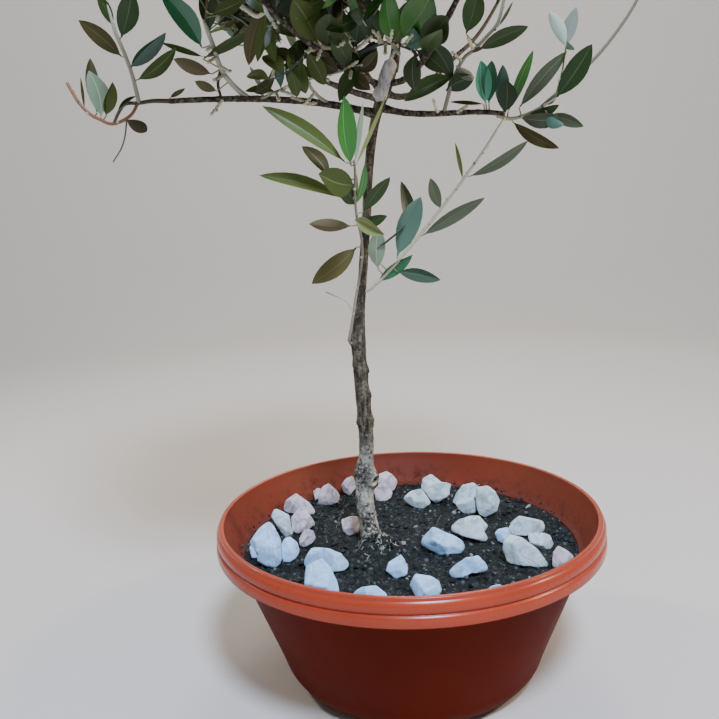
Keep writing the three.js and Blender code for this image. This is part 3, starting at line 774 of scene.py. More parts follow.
# A smooth course through a few points
def courseThrough(points, steps=24):
    points = np.array(points, float)
    padded = np.vstack([2 * points[0] - points[1], points, 2 * points[-1] - points[-2]])
    course = []
    for a, b, c, d in zip(padded, padded[1:], padded[2:], padded[3:]):
        for step in range(steps):
            t = step / steps
            course.append(0.5 * (2 * b + (c - a) * t + (2 * a - 5 * b + 4 * c - d) * t * t
                                 + (3 * b - a - 3 * c + d) * t ** 3))
    return np.array(course + [points[-1]])


# A limb that leaves one place in a heading and arrives at another in a second heading
def bentLimb(foot, leave, tip, arrive, footSize, tipSize, start=None):
    foot, tip = np.array(foot, float), np.array(tip, float)
    third = np.linalg.norm(tip - foot) / 3
    first = foot + np.array(leave) * (start or third)
    second = tip - np.array(arrive) * third
    t = np.linspace(0, 1, 81)[:, None]
    points = (1 - t) ** 3 * foot + 3 * (1 - t) ** 2 * t * first + 3 * (1 - t) * t * t * second + t ** 3 * tip
    return Limb(points, tapered(footSize, tipSize))


straightBars = {}
capBulge = 0.8


# A straight round bar, one long and one in radius, with evenly spaced rings. Limbs are bent from it.
def straightBar(sides, steps):
    if (sides, steps) not in straightBars:
        bm = bmesh.new()
        bmesh.ops.create_cone(bm, cap_ends=True, cap_tris=True, segments=sides, radius1=1, radius2=1,
                              depth=1)
        uprights = [edge for edge in bm.edges if abs(edge.verts[0].co.z - edge.verts[1].co.z) > 0.5]
        bmesh.ops.subdivide_edges(bm, edges=uprights, cuts=steps - 1, use_grid_fill=True)
        straightBars[sides, steps] = shapeOf(bm)
    return straightBars[sides, steps]


# Bends the bar along a limb, with its own girth at each place. The middle of each end stands out.
def bendBar(limb, sides, steps, girth, front=(0.31, 0.52, 0.79), finish=0):
    corners, faces, _ = straightBar(sides, steps)
    frames = limb.rings(steps, front)
    bent = []
    for x, y, z in corners:
        step = round((z + 0.5) * steps)
        spot, ahead, across, side = frames[step]
        if math.hypot(x, y) < 0.01:
            bent.append(spot + ahead * math.copysign(capBulge, z) * girth(step / steps, 0))
        else:
            bearing = math.atan2(y, x)
            size = girth(step / steps, bearing)
            bent.append(spot + (across * math.cos(bearing) + side * math.sin(bearing)) * size)
    return np.array(bent), faces, [finish] * len(faces)


# One bar as a mesh of its own, with its faces turned outwards
def barMesh(name, shape):
    mesh = joinCopies(name, [inPlace(shape)])
    bm = bmesh.new()
    bm.from_mesh(mesh)
    bmesh.ops.recalc_face_normals(bm, faces=bm.faces)
    bm.to_mesh(mesh)
    bm.free()
    return mesh


# Trunk: leans left above the soil, then right to the fork. Bearing 0 faces the front, a quarter turn more
# the left. The bark grows calmer between two heights, and a hollow has a lip round it.
trunkPlan = {
    "foot": 102.8,
    "top": 456,
    "footGirth": 5.9,
    "shootGirth": 5.2,
    "upperGirth": 3.3,
    "leastGirth": 0.8,
    "shootHeight": 264,
    "shootRun": 34,
    "flareGirth": 5.2,
    "flareHeight": 7,
    "flareLobes": [(4, 1.1, 0.28), (7, 0, 0.12)],
    "course": [
        (-27.2, -11, 102.8), (-30.4, -11, 119), (-33.1, -11, 142), (-32, -11, 162), (-30.4, -10.6, 180),
        (-30.3, -10.5, 200), (-32.8, -10, 264), (-29.2, -9, 300), (-23.8, -8, 350), (-19.9, -9, 392),
        (-13.5, -10, 425), (-1.5, -11, 456),
    ],
    "knots": [
        {"height": 113, "size": 1.4, "spread": 7, "bearing": 0.9},
        {"height": 160, "size": 3.2, "spread": 7, "bearing": -1.3},
        {"height": 163, "size": 2.2, "spread": 8, "bearing": 1.4},
        {"height": 203, "size": 1.5, "spread": 4, "bearing": -1.2},
        {"height": 202, "size": 0.9, "spread": 4, "bearing": 1.5},
        {"height": 222, "size": 1.3, "spread": 4, "bearing": -1.4},
        {"height": 241, "size": 1.1, "spread": 4, "bearing": -1.5},
        {"height": 246, "size": 0.6, "spread": 3, "bearing": 1.5},
        {"height": 262, "size": 1.1, "spread": 5, "bearing": 1.0},
    ],
    "creasedFrom": 190,
    "waistSwell": {"height": 138, "size": 1.1, "spread": 20},
    "headSwell": {"height": 443, "size": 1.5, "spread": 15},
    "hollows": [
        {"height": 158, "bearing": -1.05, "size": 4.4, "spread": 2.3},
        {"height": 165.5, "bearing": 0.1, "size": 1.4, "spread": 1.3},
        {"height": 162, "bearing": 1.0, "size": 0.8, "spread": 1.4},
        {"height": 199.6, "bearing": -1.1, "size": 1.2, "spread": 1.0},
        {"height": 222.5, "bearing": -1.1, "size": 0.9, "spread": 0.9},
        {"height": 240, "bearing": -1.3, "size": 1.0, "spread": 1.0},
        {"height": 131, "bearing": -0.3, "size": 1.1, "spread": 1.0},
        {"height": 127, "bearing": -0.15, "size": 0.9, "spread": 0.8},
        {"height": 120, "bearing": -0.9, "size": 1.1, "spread": 0.9},
        {"height": 118, "bearing": 0.4, "size": 1.0, "spread": 1.0},
        {"height": 147, "bearing": 0.5, "size": 0.7, "spread": 0.9},
        {"height": 259, "bearing": 0.5, "size": 0.9, "spread": 1.4},
    ],
    "lip": {"size": 0.35, "away": 1.7, "sharp": 1.6},
    "darkWithin": 0.75,
    "sides": 44,
    "rings": 340,
    "plate": 0.42,
    "grain": 0.2,
    "calm": {"from": 150, "to": 300, "strength": 0.45},
    "crease": {"drop": 2.6, "depth": 0.5, "spread": 0.9},
    "sunk": 2.5,
}


def bell(height, swell):
    return swell["size"] * math.exp(-(((height - swell["height"]) / swell["spread"]) ** 2))


def trunkGirth(along, bearing=0):
    plan = trunkPlan
    height = lerp(plan["foot"], plan["top"], along)
    lower = lerp(plan["footGirth"], plan["shootGirth"],
                 (height - plan["foot"]) / (plan["shootHeight"] - plan["foot"]))
    upper = smoothstep(height, plan["shootHeight"], plan["shootHeight"] + plan["shootRun"])
    lobes = 1
    for count, shift, size in plan["flareLobes"]:
        lobes += size * math.sin(count * bearing + shift)
    girth = lerp(max(lower, plan["upperGirth"]), plan["upperGirth"], upper)
    girth += plan["flareGirth"] * lobes * math.exp(-(height - plan["foot"]) / plan["flareHeight"])
    girth += bell(height, plan["waistSwell"]) + bell(height, plan["headSwell"])
    for knot in plan["knots"]:
        girth += bell(height, knot) * max(0.15, math.cos(bearing - knot["bearing"]))
    return girth


# Bark relief on a round limb: shallow plates drawn out along it, and fine pits
def barkRelief(height, bearing, girth, plate, grain):
    around = Vector((math.cos(bearing), math.sin(bearing), 0)) * girth
    plates = noise.fractal(Vector((around.x / 3, around.y / 3, height / 6)), 0.8, 2.1, 4)
    pits = noise.fractal(Vector((around.x / 1.2, around.y / 1.2, height / 1.6)), 0.8, 2, 2)
    return plate * plates + grain * pits


def trunkBark(along, bearing):
    plan = trunkPlan
    height = lerp(plan["foot"], plan["top"], along)
    girth = trunkGirth(along, bearing)
    calm = smoothstep(height, plan["calm"]["from"], plan["calm"]["to"])
    strength = lerp(1, plan["calm"]["strength"], calm)
    out = girth + strength * barkRelief(height, bearing, girth, plan["plate"], plan["grain"])
    for hollow in plan["hollows"]:
        turn = math.remainder(bearing - hollow["bearing"], math.tau) * girth
        away = math.hypot(height - hollow["height"], turn) / hollow["spread"]
        lip = plan["lip"]["size"] * math.exp(-((away - plan["lip"]["away"]) ** 2) * plan["lip"]["sharp"])
        out += hollow["size"] * (lip - math.exp(-away * away))
    crease = plan["crease"]
    for knot in [knot for knot in plan["knots"] if knot["height"] > plan["creasedFrom"]]:
        side = max(0, math.cos(bearing - knot["bearing"])) ** 2
        below = (height - knot["height"] + crease["drop"]) / crease["spread"]
        out -= crease["depth"] * side * math.exp(-below * below)
    return max(out, plan["leastGirth"])


# Colours of the bark, and the heights in metres between which it turns from grey to brown
barkTones = {
    "grey": "#98968a",
    "brown": "#5a564c",
    "pit": "#1f1c18",
    "pale": "#b7b39f",
    "lichen": "#dcdccb",
    # hollow: near-black in the knot hollows, painted shade
    "hollow": "#14110e",
    "upper": "#433c2e",
    "upperLight": "#7a6f5b",
    "bough": "#41372c",
    "boughLight": "#7d7160",
    "riseFrom": 0.158,
    "riseTo": 0.2,
}


# Young olive bark: smooth and grey with small dark pits and pale lichen low down, browner towards the crown
def oliveBark(name, stretch, middle, light):
    material = startMaterial(name, middle, {"Specular IOR Level": 0.3})
    tree = material.node_tree
    place = addNode(tree, "TexCoord", out="Object")
    long = addNode(tree, "Mapping", {"Vector": place, "Scale": (1, 1, stretch)})
    cloud = addNode(tree, "TexNoise", {"Vector": place, "Scale": 1 / 0.011, "Detail": 5, "Roughness": 0.6})
    streak = addNode(tree, "TexNoise", {"Vector": long, "Scale": 1 / 0.0026, "Detail": 5})
    fine = addNode(tree, "TexNoise", {"Vector": place, "Scale": 1 / 0.0021, "Detail": 3})
    low = addNode(tree, "ValToRGB", {"Fac": cloud},
                  stops=[(0.4, barkTones["brown"]), (0.5, barkTones["grey"]), (0.6, barkTones["pale"])])
    high = addNode(tree, "ValToRGB", {"Fac": streak},
                   stops=[(0.3, barkTones["pit"]), (0.48, middle), (0.72, light)])
    height = addNode(tree, "SeparateXYZ", {"Vector": place}, out="Z")
    rise = addNode(tree, "MapRange", {"Value": height, "From Min": barkTones["riseFrom"],
                                      "From Max": barkTones["riseTo"]})
    colour = addNode(tree, "Mix", {"Factor": rise, "A": low, "B": high}, out=2, data_type="RGBA")
    pits = addNode(tree, "MapRange", {"Value": fine, "From Min": 0.43, "From Max": 0.36, "To Max": 0.85})
    colour = addNode(tree, "Mix", {"Factor": pits, "A": colour, "B": barkTones["pit"]}, out=2,
                     data_type="RGBA")
    crust = addNode(tree, "MapRange", {"Value": fine, "From Min": 0.57, "From Max": 0.65})
    foot = addNode(tree, "MapRange", {"Value": height, "From Min": 0.12, "From Max": 0.2, "To Min": 0.8,
                                      "To Max": 0.1})
    lichen = addNode(tree, "Math", {0: crust, 1: foot}, operation="MULTIPLY")
    colour = addNode(tree, "Mix", {"Factor": lichen, "A": colour, "B": barkTones["lichen"]}, out=2,
                     data_type="RGBA")
    rough = addNode(tree, "MapRange", {"Value": cloud, "To Min": 0.55, "To Max": 0.95})
    bump = addNode(tree, "Bump", {"Height": streak, "Strength": 0.5, "Distance": 0.0006})
    return feedShader(material, {"Base Color": colour, "Roughness": rough, "Normal": bump})


trunkFinish = oliveBark("olive_bark", 0.2, barkTones["upper"], barkTones["upperLight"])
boughFinish = oliveBark("young_olive_bark", 1, barkTones["bough"], barkTones["boughLight"])
trunk = Limb(courseThrough(trunkPlan["course"]), trunkGirth, 128)
limbs = {"trunk": trunk}


# Whether a point of the bark lies down in one of the trunk's hollows
def inHollow(spot):
    along = (spot[2] - trunkPlan["foot"]) / (trunkPlan["top"] - trunkPlan["foot"])
    middle = trunk.at(along)
    bearing = math.atan2(middle[0] - spot[0], middle[1] - spot[1])
    for hollow in trunkPlan["hollows"]:
        turn = math.remainder(bearing - hollow["bearing"], math.tau) * trunkGirth(along, bearing)
        if math.hypot(spot[2] - hollow["height"], turn) < trunkPlan["darkWithin"] * hollow["spread"]:
            return True
    return False


def addTrunk():
    corners, faces, _ = bendBar(trunk, trunkPlan["sides"], trunkPlan["rings"], trunkBark, (0, -1, 0))
    shape = (corners, faces, [int(inHollow(corners[list(face)].mean(0))) for face in faces])
    # Faces down in the hollows get near-black, painted shade
    hollowShadeFinish = startMaterial("knot_hollow_painted_shade", barkTones["hollow"], {"Roughness": 0.9})
    low = corners[:, 2] < trunkPlan["foot"] + 1
    corners[low, 2] = soilBed["top"] - trunkPlan["sunk"]
    addPiece("trunk_bark", barMesh("trunk_bark", shape), [trunkFinish, hollowShadeFinish], ["trunk"], 60)


addTrunk()

# A pruned stub at the head of the trunk: its two ends in the photograph's pixels with their depth
prunedStub = {"foot": (379, 97, -14), "tip": (391.5, 61, -20), "girth": (5, 4.5), "colour": "#b2adab",
              "roundedFrom": 0.93, "rounding": 1.6, "plate": 0.5, "grain": 0.25, "sides": 24, "rings": 30}


# Weathered dead wood: silvery grey with fine dark checks along the grain
def weatheredWood():
    material = startMaterial("weathered_wood", prunedStub["colour"], {"Roughness": 0.85})
    tree = material.node_tree
    place = addNode(tree, "TexCoord", out="Object")
    long = addNode(tree, "Mapping", {"Vector": place, "Scale": (1, 1, 0.3)})
    check = addNode(tree, "TexNoise", {"Vector": long, "Scale": 1 / 0.002, "Detail": 4})
    tone = addNode(tree, "ValToRGB", {"Fac": check},
                   stops=[(0.28, barkTones["pit"]), (0.42, prunedStub["colour"]),
                          (0.75, barkTones["lichen"])])
    bump = addNode(tree, "Bump", {"Height": check, "Strength": 0.6, "Distance": 0.0005})
    return feedShader(material, {"Base Color": tone, "Normal": bump})


def addStub():
    stub = prunedStub
    limb = Limb([photoSpot(*stub["foot"]), photoSpot(*stub["tip"])])

    def girth(along, bearing):
        size = lerp(*stub["girth"], along) - stub["rounding"] * smoothstep(along, stub["roundedFrom"], 1)
        return size + barkRelief(along * limb.length, bearing, size, stub["plate"], stub["grain"])
    shape = bendBar(limb, stub["sides"], stub["rings"], girth)
    addPiece("pruned_stub", barMesh("pruned_stub", shape), [weatheredWood()], (), 60)


addStub()
print("trunk grown")

# Main boughs: what each grows from, how far along it, the side it leaves by, its tip, and its two girths
boughPlans = {
    "bough_left": {"from": "trunk", "along": 0.91, "toward": (-1, -0.05, 0), "tip": (-156, -25, 440),
                   "arrive": (-1, 0, 0), "girth": (2.7, 1.8)},
    "bough_right": {"from": "trunk", "along": 0.925, "toward": (1, 0.05, 0), "tip": (76, -2, 423),
                    "arrive": (1, 0, -0.2), "girth": (2.4, 1.7)},
    "bough_back_left": {"from": "trunk", "along": 0.94, "toward": (-0.6, 0.8, 0), "tip": (-80, 72, 478),
                        "arrive": (-0.6, 0.6, 0.5), "girth": (2.5, 1.7)},
    "bough_back_right": {"from": "trunk", "along": 0.955, "toward": (0.6, 0.8, 0), "tip": (56, 76, 482),
                         "arrive": (0.6, 0.6, 0.5), "girth": (2.4, 1.7)},
    "bough_front_left": {"from": "trunk", "along": 0.962, "toward": (-0.7, -0.7, 0), "tip": (-78, -84, 488),
                         "arrive": (-0.5, -0.6, 0.6), "girth": (2.3, 1.6)},
    "bough_front_right": {"from": "trunk", "along": 0.975, "toward": (0.6, -0.8, 0), "tip": (48, -94, 496),
                          "arrive": (0.4, -0.6, 0.6), "girth": (2.3, 1.6)},
    "bough_leader": {"from": "trunk", "tip": (-18, -6, 566), "arrive": (0, 0, 1), "girth": (3.4, 2.2)},
    "bough_high_left": {"from": "bough_leader", "along": 0.52, "toward": (-1, 0, 0), "tip": (-92, -10, 578),
                        "arrive": (-0.8, 0, 0.6), "girth": (2, 1.5)},
    "bough_high_right": {"from": "bough_leader", "along": 0.44, "toward": (1, 0.1, 0), "tip": (58, 0, 568),
                         "arrive": (0.8, 0, 0.6), "girth": (2, 1.5)},
    "bough_high_front": {"from": "bough_leader", "along": 0.68, "toward": (0, -1, 0), "tip": (-22, -76, 590),
                         "arrive": (0, -0.8, 0.6), "girth": (1.9, 1.5)},
    "bough_high_back": {"from": "bough_leader", "along": 0.6, "toward": (0, 1, 0), "tip": (-26, 70, 588),
                        "arrive": (0, 0.8, 0.6), "girth": (1.9, 1.5)},
}

# Masses of foliage: the stem of each, as for a bough, and the length of its longest twig.
# The two shoots below the crown grow no twigs: the sprays further on give them their leaves.
massPlans = {
    "mass_left_tip": {"from": "bough_left", "tip": (-214, -33, 478), "arrive": (-0.5, 0, 0.85), "reach": 50},
    "mass_left_inner": {"from": "bough_left", "along": 0.6, "toward": (-0.2, 0, 1), "tip": (-122, -26, 528),
                        "arrive": (-0.2, 0, 1), "reach": 56},
    "mass_right_tip": {"from": "bough_right", "tip": (160, 6, 494), "arrive": (0.5, 0, 0.85), "reach": 50},
    "mass_right_inner": {"from": "bough_right", "along": 0.5, "toward": (0.2, 0, 1), "tip": (70, -14, 520),
                         "arrive": (0.2, 0, 1), "reach": 56},
    "mass_back_left": {"from": "bough_back_left", "tip": (-138, 122, 538), "arrive": (-0.5, 0.4, 0.8),
                       "reach": 62},
    "mass_back_right": {"from": "bough_back_right", "tip": (96, 120, 538), "arrive": (0.5, 0.4, 0.8),
                        "reach": 62},
    "mass_front_left": {"from": "bough_front_left", "tip": (-116, -138, 548), "arrive": (-0.4, -0.4, 0.8),
                        "reach": 60},
    "mass_front_right": {"from": "bough_front_right", "tip": (78, -138, 552), "arrive": (0.4, -0.4, 0.8),
                         "reach": 60},
    "mass_centre": {"from": "bough_leader", "along": 0.16, "toward": (-0.3, -1, 0), "tip": (-32, -84, 512),
                    "arrive": (-0.1, -0.7, 0.7), "reach": 48},
    "mass_high_left": {"from": "bough_high_left", "tip": (-150, -14, 626), "arrive": (-0.6, 0, 0.8),
                       "reach": 62},
    "mass_high_right": {"from": "bough_high_right", "tip": (106, 4, 622), "arrive": (0.6, 0, 0.8),
                        "reach": 62},
    "mass_high_front": {"from": "bough_high_front", "tip": (-24, -108, 614), "arrive": (0, -0.6, 0.8),
                        "reach": 60},
    "mass_high_back": {"from": "bough_high_back", "tip": (-28, 100, 612), "arrive": (0, 0.6, 0.8),
                       "reach": 60},
    "mass_top": {"from": "bough_leader", "tip": (-24, -8, 668), "arrive": (0, 0, 1), "pairs": 5, "reach": 62},
    "shoot_front": {"from": "trunk", "along": 0.452, "toward": (-0.8, -0.6, 0), "tip": (-28, -84, 416),
                    "by": [(-40, -16, 264.5), (-36.8, -18.5, 278), (-33.3, -19.5, 296), (-30, -21, 311),
                           (-26.6, -25, 328), (-26.6, -32, 342), (-28.6, -41, 356), (-28.8, -51, 370),
                           (-27.4, -63, 385), (-27.3, -74, 399)],
                    "girth": (1.4, 1)},
    "shoot_right": {"from": "trunk", "along": 0.56, "toward": (1, -0.15, 0), "tip": (66, -47, 408),
                    "arrive": (0.5, -0.25, 0.8), "start": 6, "girth": (1.4, 1)},
}

# What grows in a mass: girths at both ends, sides and rings of each kind of twig, and the leaves' sizes
growth = {
    "clearGap": 0.3,
    "pairs": 4,
    "stemGirth": (1.7, 1.3),
    "stemCut": (7, 20),
    "twigGirth": (1.1, 0.7),
    "twigCut": (5, 6),
    "twigletGirth": (0.7, 0.45),
    "twigletCut": (4, 4),
    "twigletPairs": 3,
    "twigletReach": 0.55,
    "morePairs": 3,
    "betweenReach": 0.6,
    "paleShare": 0.4,
    "bareStem": 0.6,
    "bareTwig": 0.3,
    "bareTwiglet": 0.1,
    "budEvery": 14,
    "budsAlong": (0.1, 0.9),
    "leafRoom": 0.5,
    "leafLength": 43,
    "leafWidth": 10.5,
    "leafGap": 11,
    "leafLean": 48,
    "leafSpace": 3.6,
    "leafRoot": 1.2,
}

# The dome that the crown fills, and the height that its underside keeps, higher towards the front
crown = {"x": -25, "y": -8, "z": 488, "across": 214, "deep": 186, "up": 206, "down": 84}
underside = {"height": 404, "front": -11, "rise": 0.3}
collar = {"length": 7, "swell": 0.45}
leafScar = {"every": 13, "long": 1.3, "size": 0.28}
boughBark = {"plate": 0.16, "grain": 0.1, "sides": 16, "rings": 64}


# A limb's seat: the place in the middle of its parent's wood, the place on the bark, and the heading
def seatOf(plan):
    parent = limbs[plan["from"]]
    if "toward" not in plan:
        leave = parent.heading(1)
        return parent.at(1) - leave, parent.at(1) + leave * growth["clearGap"], leave
    spine = parent.heading(plan["along"])
    leave = squareTo(spine, np.array(plan["toward"], float))
    bark = parent.girth(plan["along"], math.atan2(-leave[0], -leave[1]))
    middle = parent.at(plan["along"])
    return middle, middle + leave * (bark + growth["clearGap"]), leave


def growLimb(plan):
    middle, foot, leave = seatOf(plan)
    footSize, tipSize = plan.get("girth", growth["stemGirth"])
    if "by" in plan:
        limb = Limb(courseThrough([foot, *plan["by"], plan["tip"]]), tapered(footSize, tipSize))
    else:
        limb = bentLimb(foot, leave, plan["tip"], unit(plan["arrive"]), footSize, tipSize, plan.get("start"))
    limb.rooted = Limb(np.vstack([middle, limb.points]), limb.girth)
    return limb


for limbName, limbPlan in {**boughPlans, **massPlans}.items():
    limbs[limbName] = growLimb(limbPlan)


# A bough, rooted in its parent's wood with a swollen collar, and swelling a little at each old leaf scar
def addBough(name, seed):
    limb = limbs[name].rooted
    footSize, tipSize = boughPlans[name]["girth"]
    shift = 9 * drawFrom(seed)()

    def girth(along, bearing):
        run = along * limb.length
        size = lerp(footSize, tipSize, along)
        size *= 1 + collar["swell"] * math.exp(-((run / collar["length"]) ** 2))
        count, past = divmod(run + shift, leafScar["every"])
        scar = math.exp(-((past - leafScar["every"] / 2) / leafScar["long"]) ** 2)
        size += leafScar["size"] * scar * (0.6 + 0.4 * math.cos(2 * bearing + count * 1.6))
        return size + barkRelief(run + seed * 31, bearing, size, boughBark["plate"], boughBark["grain"])
    shape = bendBar(limb, boughBark["sides"], boughBark["rings"], girth)
    addPiece(name + "_bark", barMesh(name, shape), [boughFinish], [name], 60)


for boughIndex, boughName in enumerate(boughPlans):
    addBough(boughName, 3 + boughIndex)
print("boughs grown")

# Leaves: one blade shape in five habits, upper side glossy, underside grey, with a pale rib. Each is cut at
# shares of its length and into strips across, more finely where the photograph shows it on its own.
leafBlade = {
    "long": 45,
    "wide": 11,
    "thick": 0.5,
    "plain": {"stations": [0, 0.09, 0.27, 0.5, 0.73, 0.9, 1], "strips": 3},
    "fine": {"stations": [0, 0.03, 0.07, 0.14, 0.24, 0.36, 0.48, 0.6, 0.72, 0.83, 0.92, 1], "strips": 5},
    "ribWidth": 0.06,
    "habits": [
        {"fold": 14, "arch": 0.05, "twist": 8, "sweep": 0.03},
        {"fold": 22, "arch": 0.15, "twist": -12, "sweep": -0.04},
        {"fold": 40, "arch": 0.1, "twist": 16, "sweep": 0.05},
        {"fold": 9, "arch": -0.07, "twist": -20, "sweep": -0.02},
        {"fold": 18, "arch": 0.32, "twist": 10, "sweep": 0.06},
    ],
}

# Shades of leaf, dealt out by spray: three upper sides, two undersides, the rib, and how rough and how
# glossy the upper side is
leafShades = {
    "deep": ("#2d4119 #364b1d #273a17", "#515e45 #5c694f", "#43573a", 0.38, 0.28),
    "mid": ("#42511f #4c5b26 #3b481c", "#5f6d4b #697754", "#586c3c", 0.42, 0.28),
    "blue": ("#304f38 #3c5e45 #2b4534", "#527462 #618573", "#5f8478", 0.24, 0.5),
    "emerald": ("#316f46 #3d8153 #2a6140", "#6f9a80 #7fa88e", "#4f8566", 0.22, 0.55),
    # jade: a leaf coloured as its turquoise highlight, painted highlight
    "jade_painted_glint": ("#58a888 #66b696 #4c9879", "#7fb09a #8fbca8", "#a6d6c0", 0.2, 0.6),
    "fresh": ("#3d7431 #48813b #35652c", "#6f9258 #7c9c66", "#63894c", 0.26, 0.4),
    "soft": ("#4c5827 #57632f #434f23", "#6b7850 #76835b", "#616f3f", 0.5, 0.17),
    "lime": ("#858f57 #919a63 #76814d", "#99a075 #a4aa81", "#9ea475", 0.45, 0.3),
    "olive": ("#4a4420 #544d26 #413f21", "#5d5236 #695f42", "#5f573a", 0.5, 0.22),
    "grey": ("#475137 #515b42 #59634b", "#8b9185 #9da398", "#707a63", 0.42, 0.3),
    "silver": ("#8a9c7f #98a98d #7c8e72", "#b0c2aa #bfcfba", "#b2c2a8", 0.45, 0.35),
}
leaves = {shade: [] for shade in leafShades}


# How wide the blade is along its length, as a share: a short stalk, then a long pointed oval
def bladeWidth(along):
    blade = max(0, (along - 0.05) / 0.95)
    return 0 if along == 0 else max(0.1 * (1 - along), (4 * blade * (1 - blade)) ** 0.88)


# A blade with its upper side in one of three tones, its underside in one of two, and the rib
def bladeShape(habit, cut, variant):
    stations, strips = cut["stations"], cut["strips"]
    last = len(stations) - 1
    bm = bmesh.new()
    bmesh.ops.create_grid(bm, x_segments=last, y_segments=strips, size=0.5)
    under = bmesh.ops.duplicate(bm, geom=bm.verts[:] + bm.edges[:] + bm.faces[:])["geom"]
    underVerts = {part for part in under if isinstance(part, bmesh.types.BMVert)}
    underFaces = {part for part in under if isinstance(part, bmesh.types.BMFace)}
    for face in bm.faces:
        isRib = abs(face.calc_center_median().y) < 0.05
        face.material_index = 3 + variant % 2 if face in underFaces else (5 if isRib else variant)
    bmesh.ops.reverse_faces(bm, faces=list(underFaces))
    for vert in bm.verts:
        along = stations[round((vert.co.x + 0.5) * last)]
        column = round((vert.co.y + 0.5) * strips)
        fromRib = min(column, strips - column)
        halves = [0.5, leafBlade["ribWidth"] / 2] if strips == 3 else [0.5, 0.3, leafBlade["ribWidth"] / 2.6]
        width = bladeWidth(along)
        across = math.copysign(halves[fromRib], column - strips / 2) * width * leafBlade["wide"]
        rise = abs(across) * math.tan(math.radians(habit["fold"]))
        if vert in underVerts and fromRib:
            rise -= leafBlade["thick"] * min(1, 3 * width)
        turn = math.radians(habit["twist"]) * along
        bend = habit["arch"] * leafBlade["long"] * along * along
        sweep = habit["sweep"] * leafBlade["long"] * math.sin(math.pi * along)
        vert.co = Vector((along * leafBlade["long"],
                          sweep + across * math.cos(turn) - rise * math.sin(turn),
                          across * math.sin(turn) + rise * math.cos(turn) - bend))
    bmesh.ops.remove_doubles(bm, verts=bm.verts, dist=0.01)
    return shapeOf(bm)


bladeShapes = {}
for bladeCut in ("plain", "fine"):
    for habitIndex, bladeHabit in enumerate(leafBlade["habits"]):
        for tone in range(3):
            bladeShapes[bladeCut, habitIndex, tone] = bladeShape(bladeHabit, leafBlade[bladeCut], tone)


# Olive leaf: a leathery, waxy upper side over a dull underside of tiny scales
def leafFinishes(shade):
    upper, under, rib, rough, shine = leafShades[shade]
    waxy = {"Roughness": rough, "Specular IOR Level": shine,
            "Coat Weight": 0.3 * shine, "Coat Roughness": 0.25}
    scaly = {"Roughness": 0.6, "Specular IOR Level": 0.28, "Sheen Weight": 0.08}
    return [*plainFinishes("waxy_leaf_" + shade, upper.split(), waxy),
            *plainFinishes("scaly_underside_" + shade, under.split(), scaly),
            startMaterial("leaf_rib_" + shade, rib, {"Roughness": 0.45})]


# Hangs one leaf: its root, its heading, the way its upper face looks, its size, and how finely it is cut
def hangLeaf(shade, habit, root, heading, face, length, width, cut="plain"):
    side = np.cross(face, heading)
    size = (length / leafBlade["long"], width / leafBlade["wide"])
    turn = np.stack([heading * size[0], side * size[1], face * (size[0] + size[1]) / 2], 1)
    variant = len(leaves[shade]) // 5 % 3
    leaves[shade].append((bladeShapes[cut, habit, variant], turn, root))


# Twig bark in plain tones that are dealt out twig by twig
twigKinds = {
    "woody": "#5c5243 #6f6554 #4c4336",
    "pale": "#b4b09c #c8c5b3 #9a9684",
    "rosy": "#98694f #a7785e #845b44",
    "fawn": "#8f8572 #9d937f #807664",
    "green": "#84875e #9a9a76 #70774d",
    # cream: pale stem bark brightened to the stems' highlights, partly painted highlight
    "cream_painted_highlight": "#d3cdb0 #e2dcc0 #bdb698",
    "slate": "#4b4f4c #5b605c #3f4340",
}
bars = {kind: [] for kind in twigKinds}


def hangBar(kind, limb, girth, sides, steps):
    bars[kind].append(inPlace(bendBar(limb, sides, steps, girth, finish=len(bars[kind]) % 3)))


# Buds and old leaf scars: small swellings in pairs along a twig, pale partly as painted highlight
buds = {"every": 7, "size": (0.6, 1.3), "stretch": 1.5, "stray": 0.6, "turn": 1.6, "lean": 0.9,
        "along": (0.06, 0.96), "colours": "#a9a794 #857f6b #c4c1ae"}
budCopies = []
budShape = pebbleShape(21, buds["stretch"])


def hangBuds(limb, girth, start, end, seed, every=buds["every"]):
    draw = drawFrom(seed)
    count = int(limb.length * (end - start) / every)
    for index in range(count):
        along = start + (end - start) * (index + buds["stray"] * draw()) / max(count, 1)
        heading = leaned(limb.heading(along), index * buds["turn"] + draw(), buds["lean"])
        size = lerp(*buds["size"], draw() ** 2)
        side = unit(np.cross(heading, (0.2, 0.3, 0.9)))
        turn = np.stack([heading, side, np.cross(heading, side)], 1) * size
        shape = (budShape[0], budShape[1], [int(3 * draw())] * len(budShape[1]))
        budCopies.append((shape, turn, limb.at(along) + heading * girth))


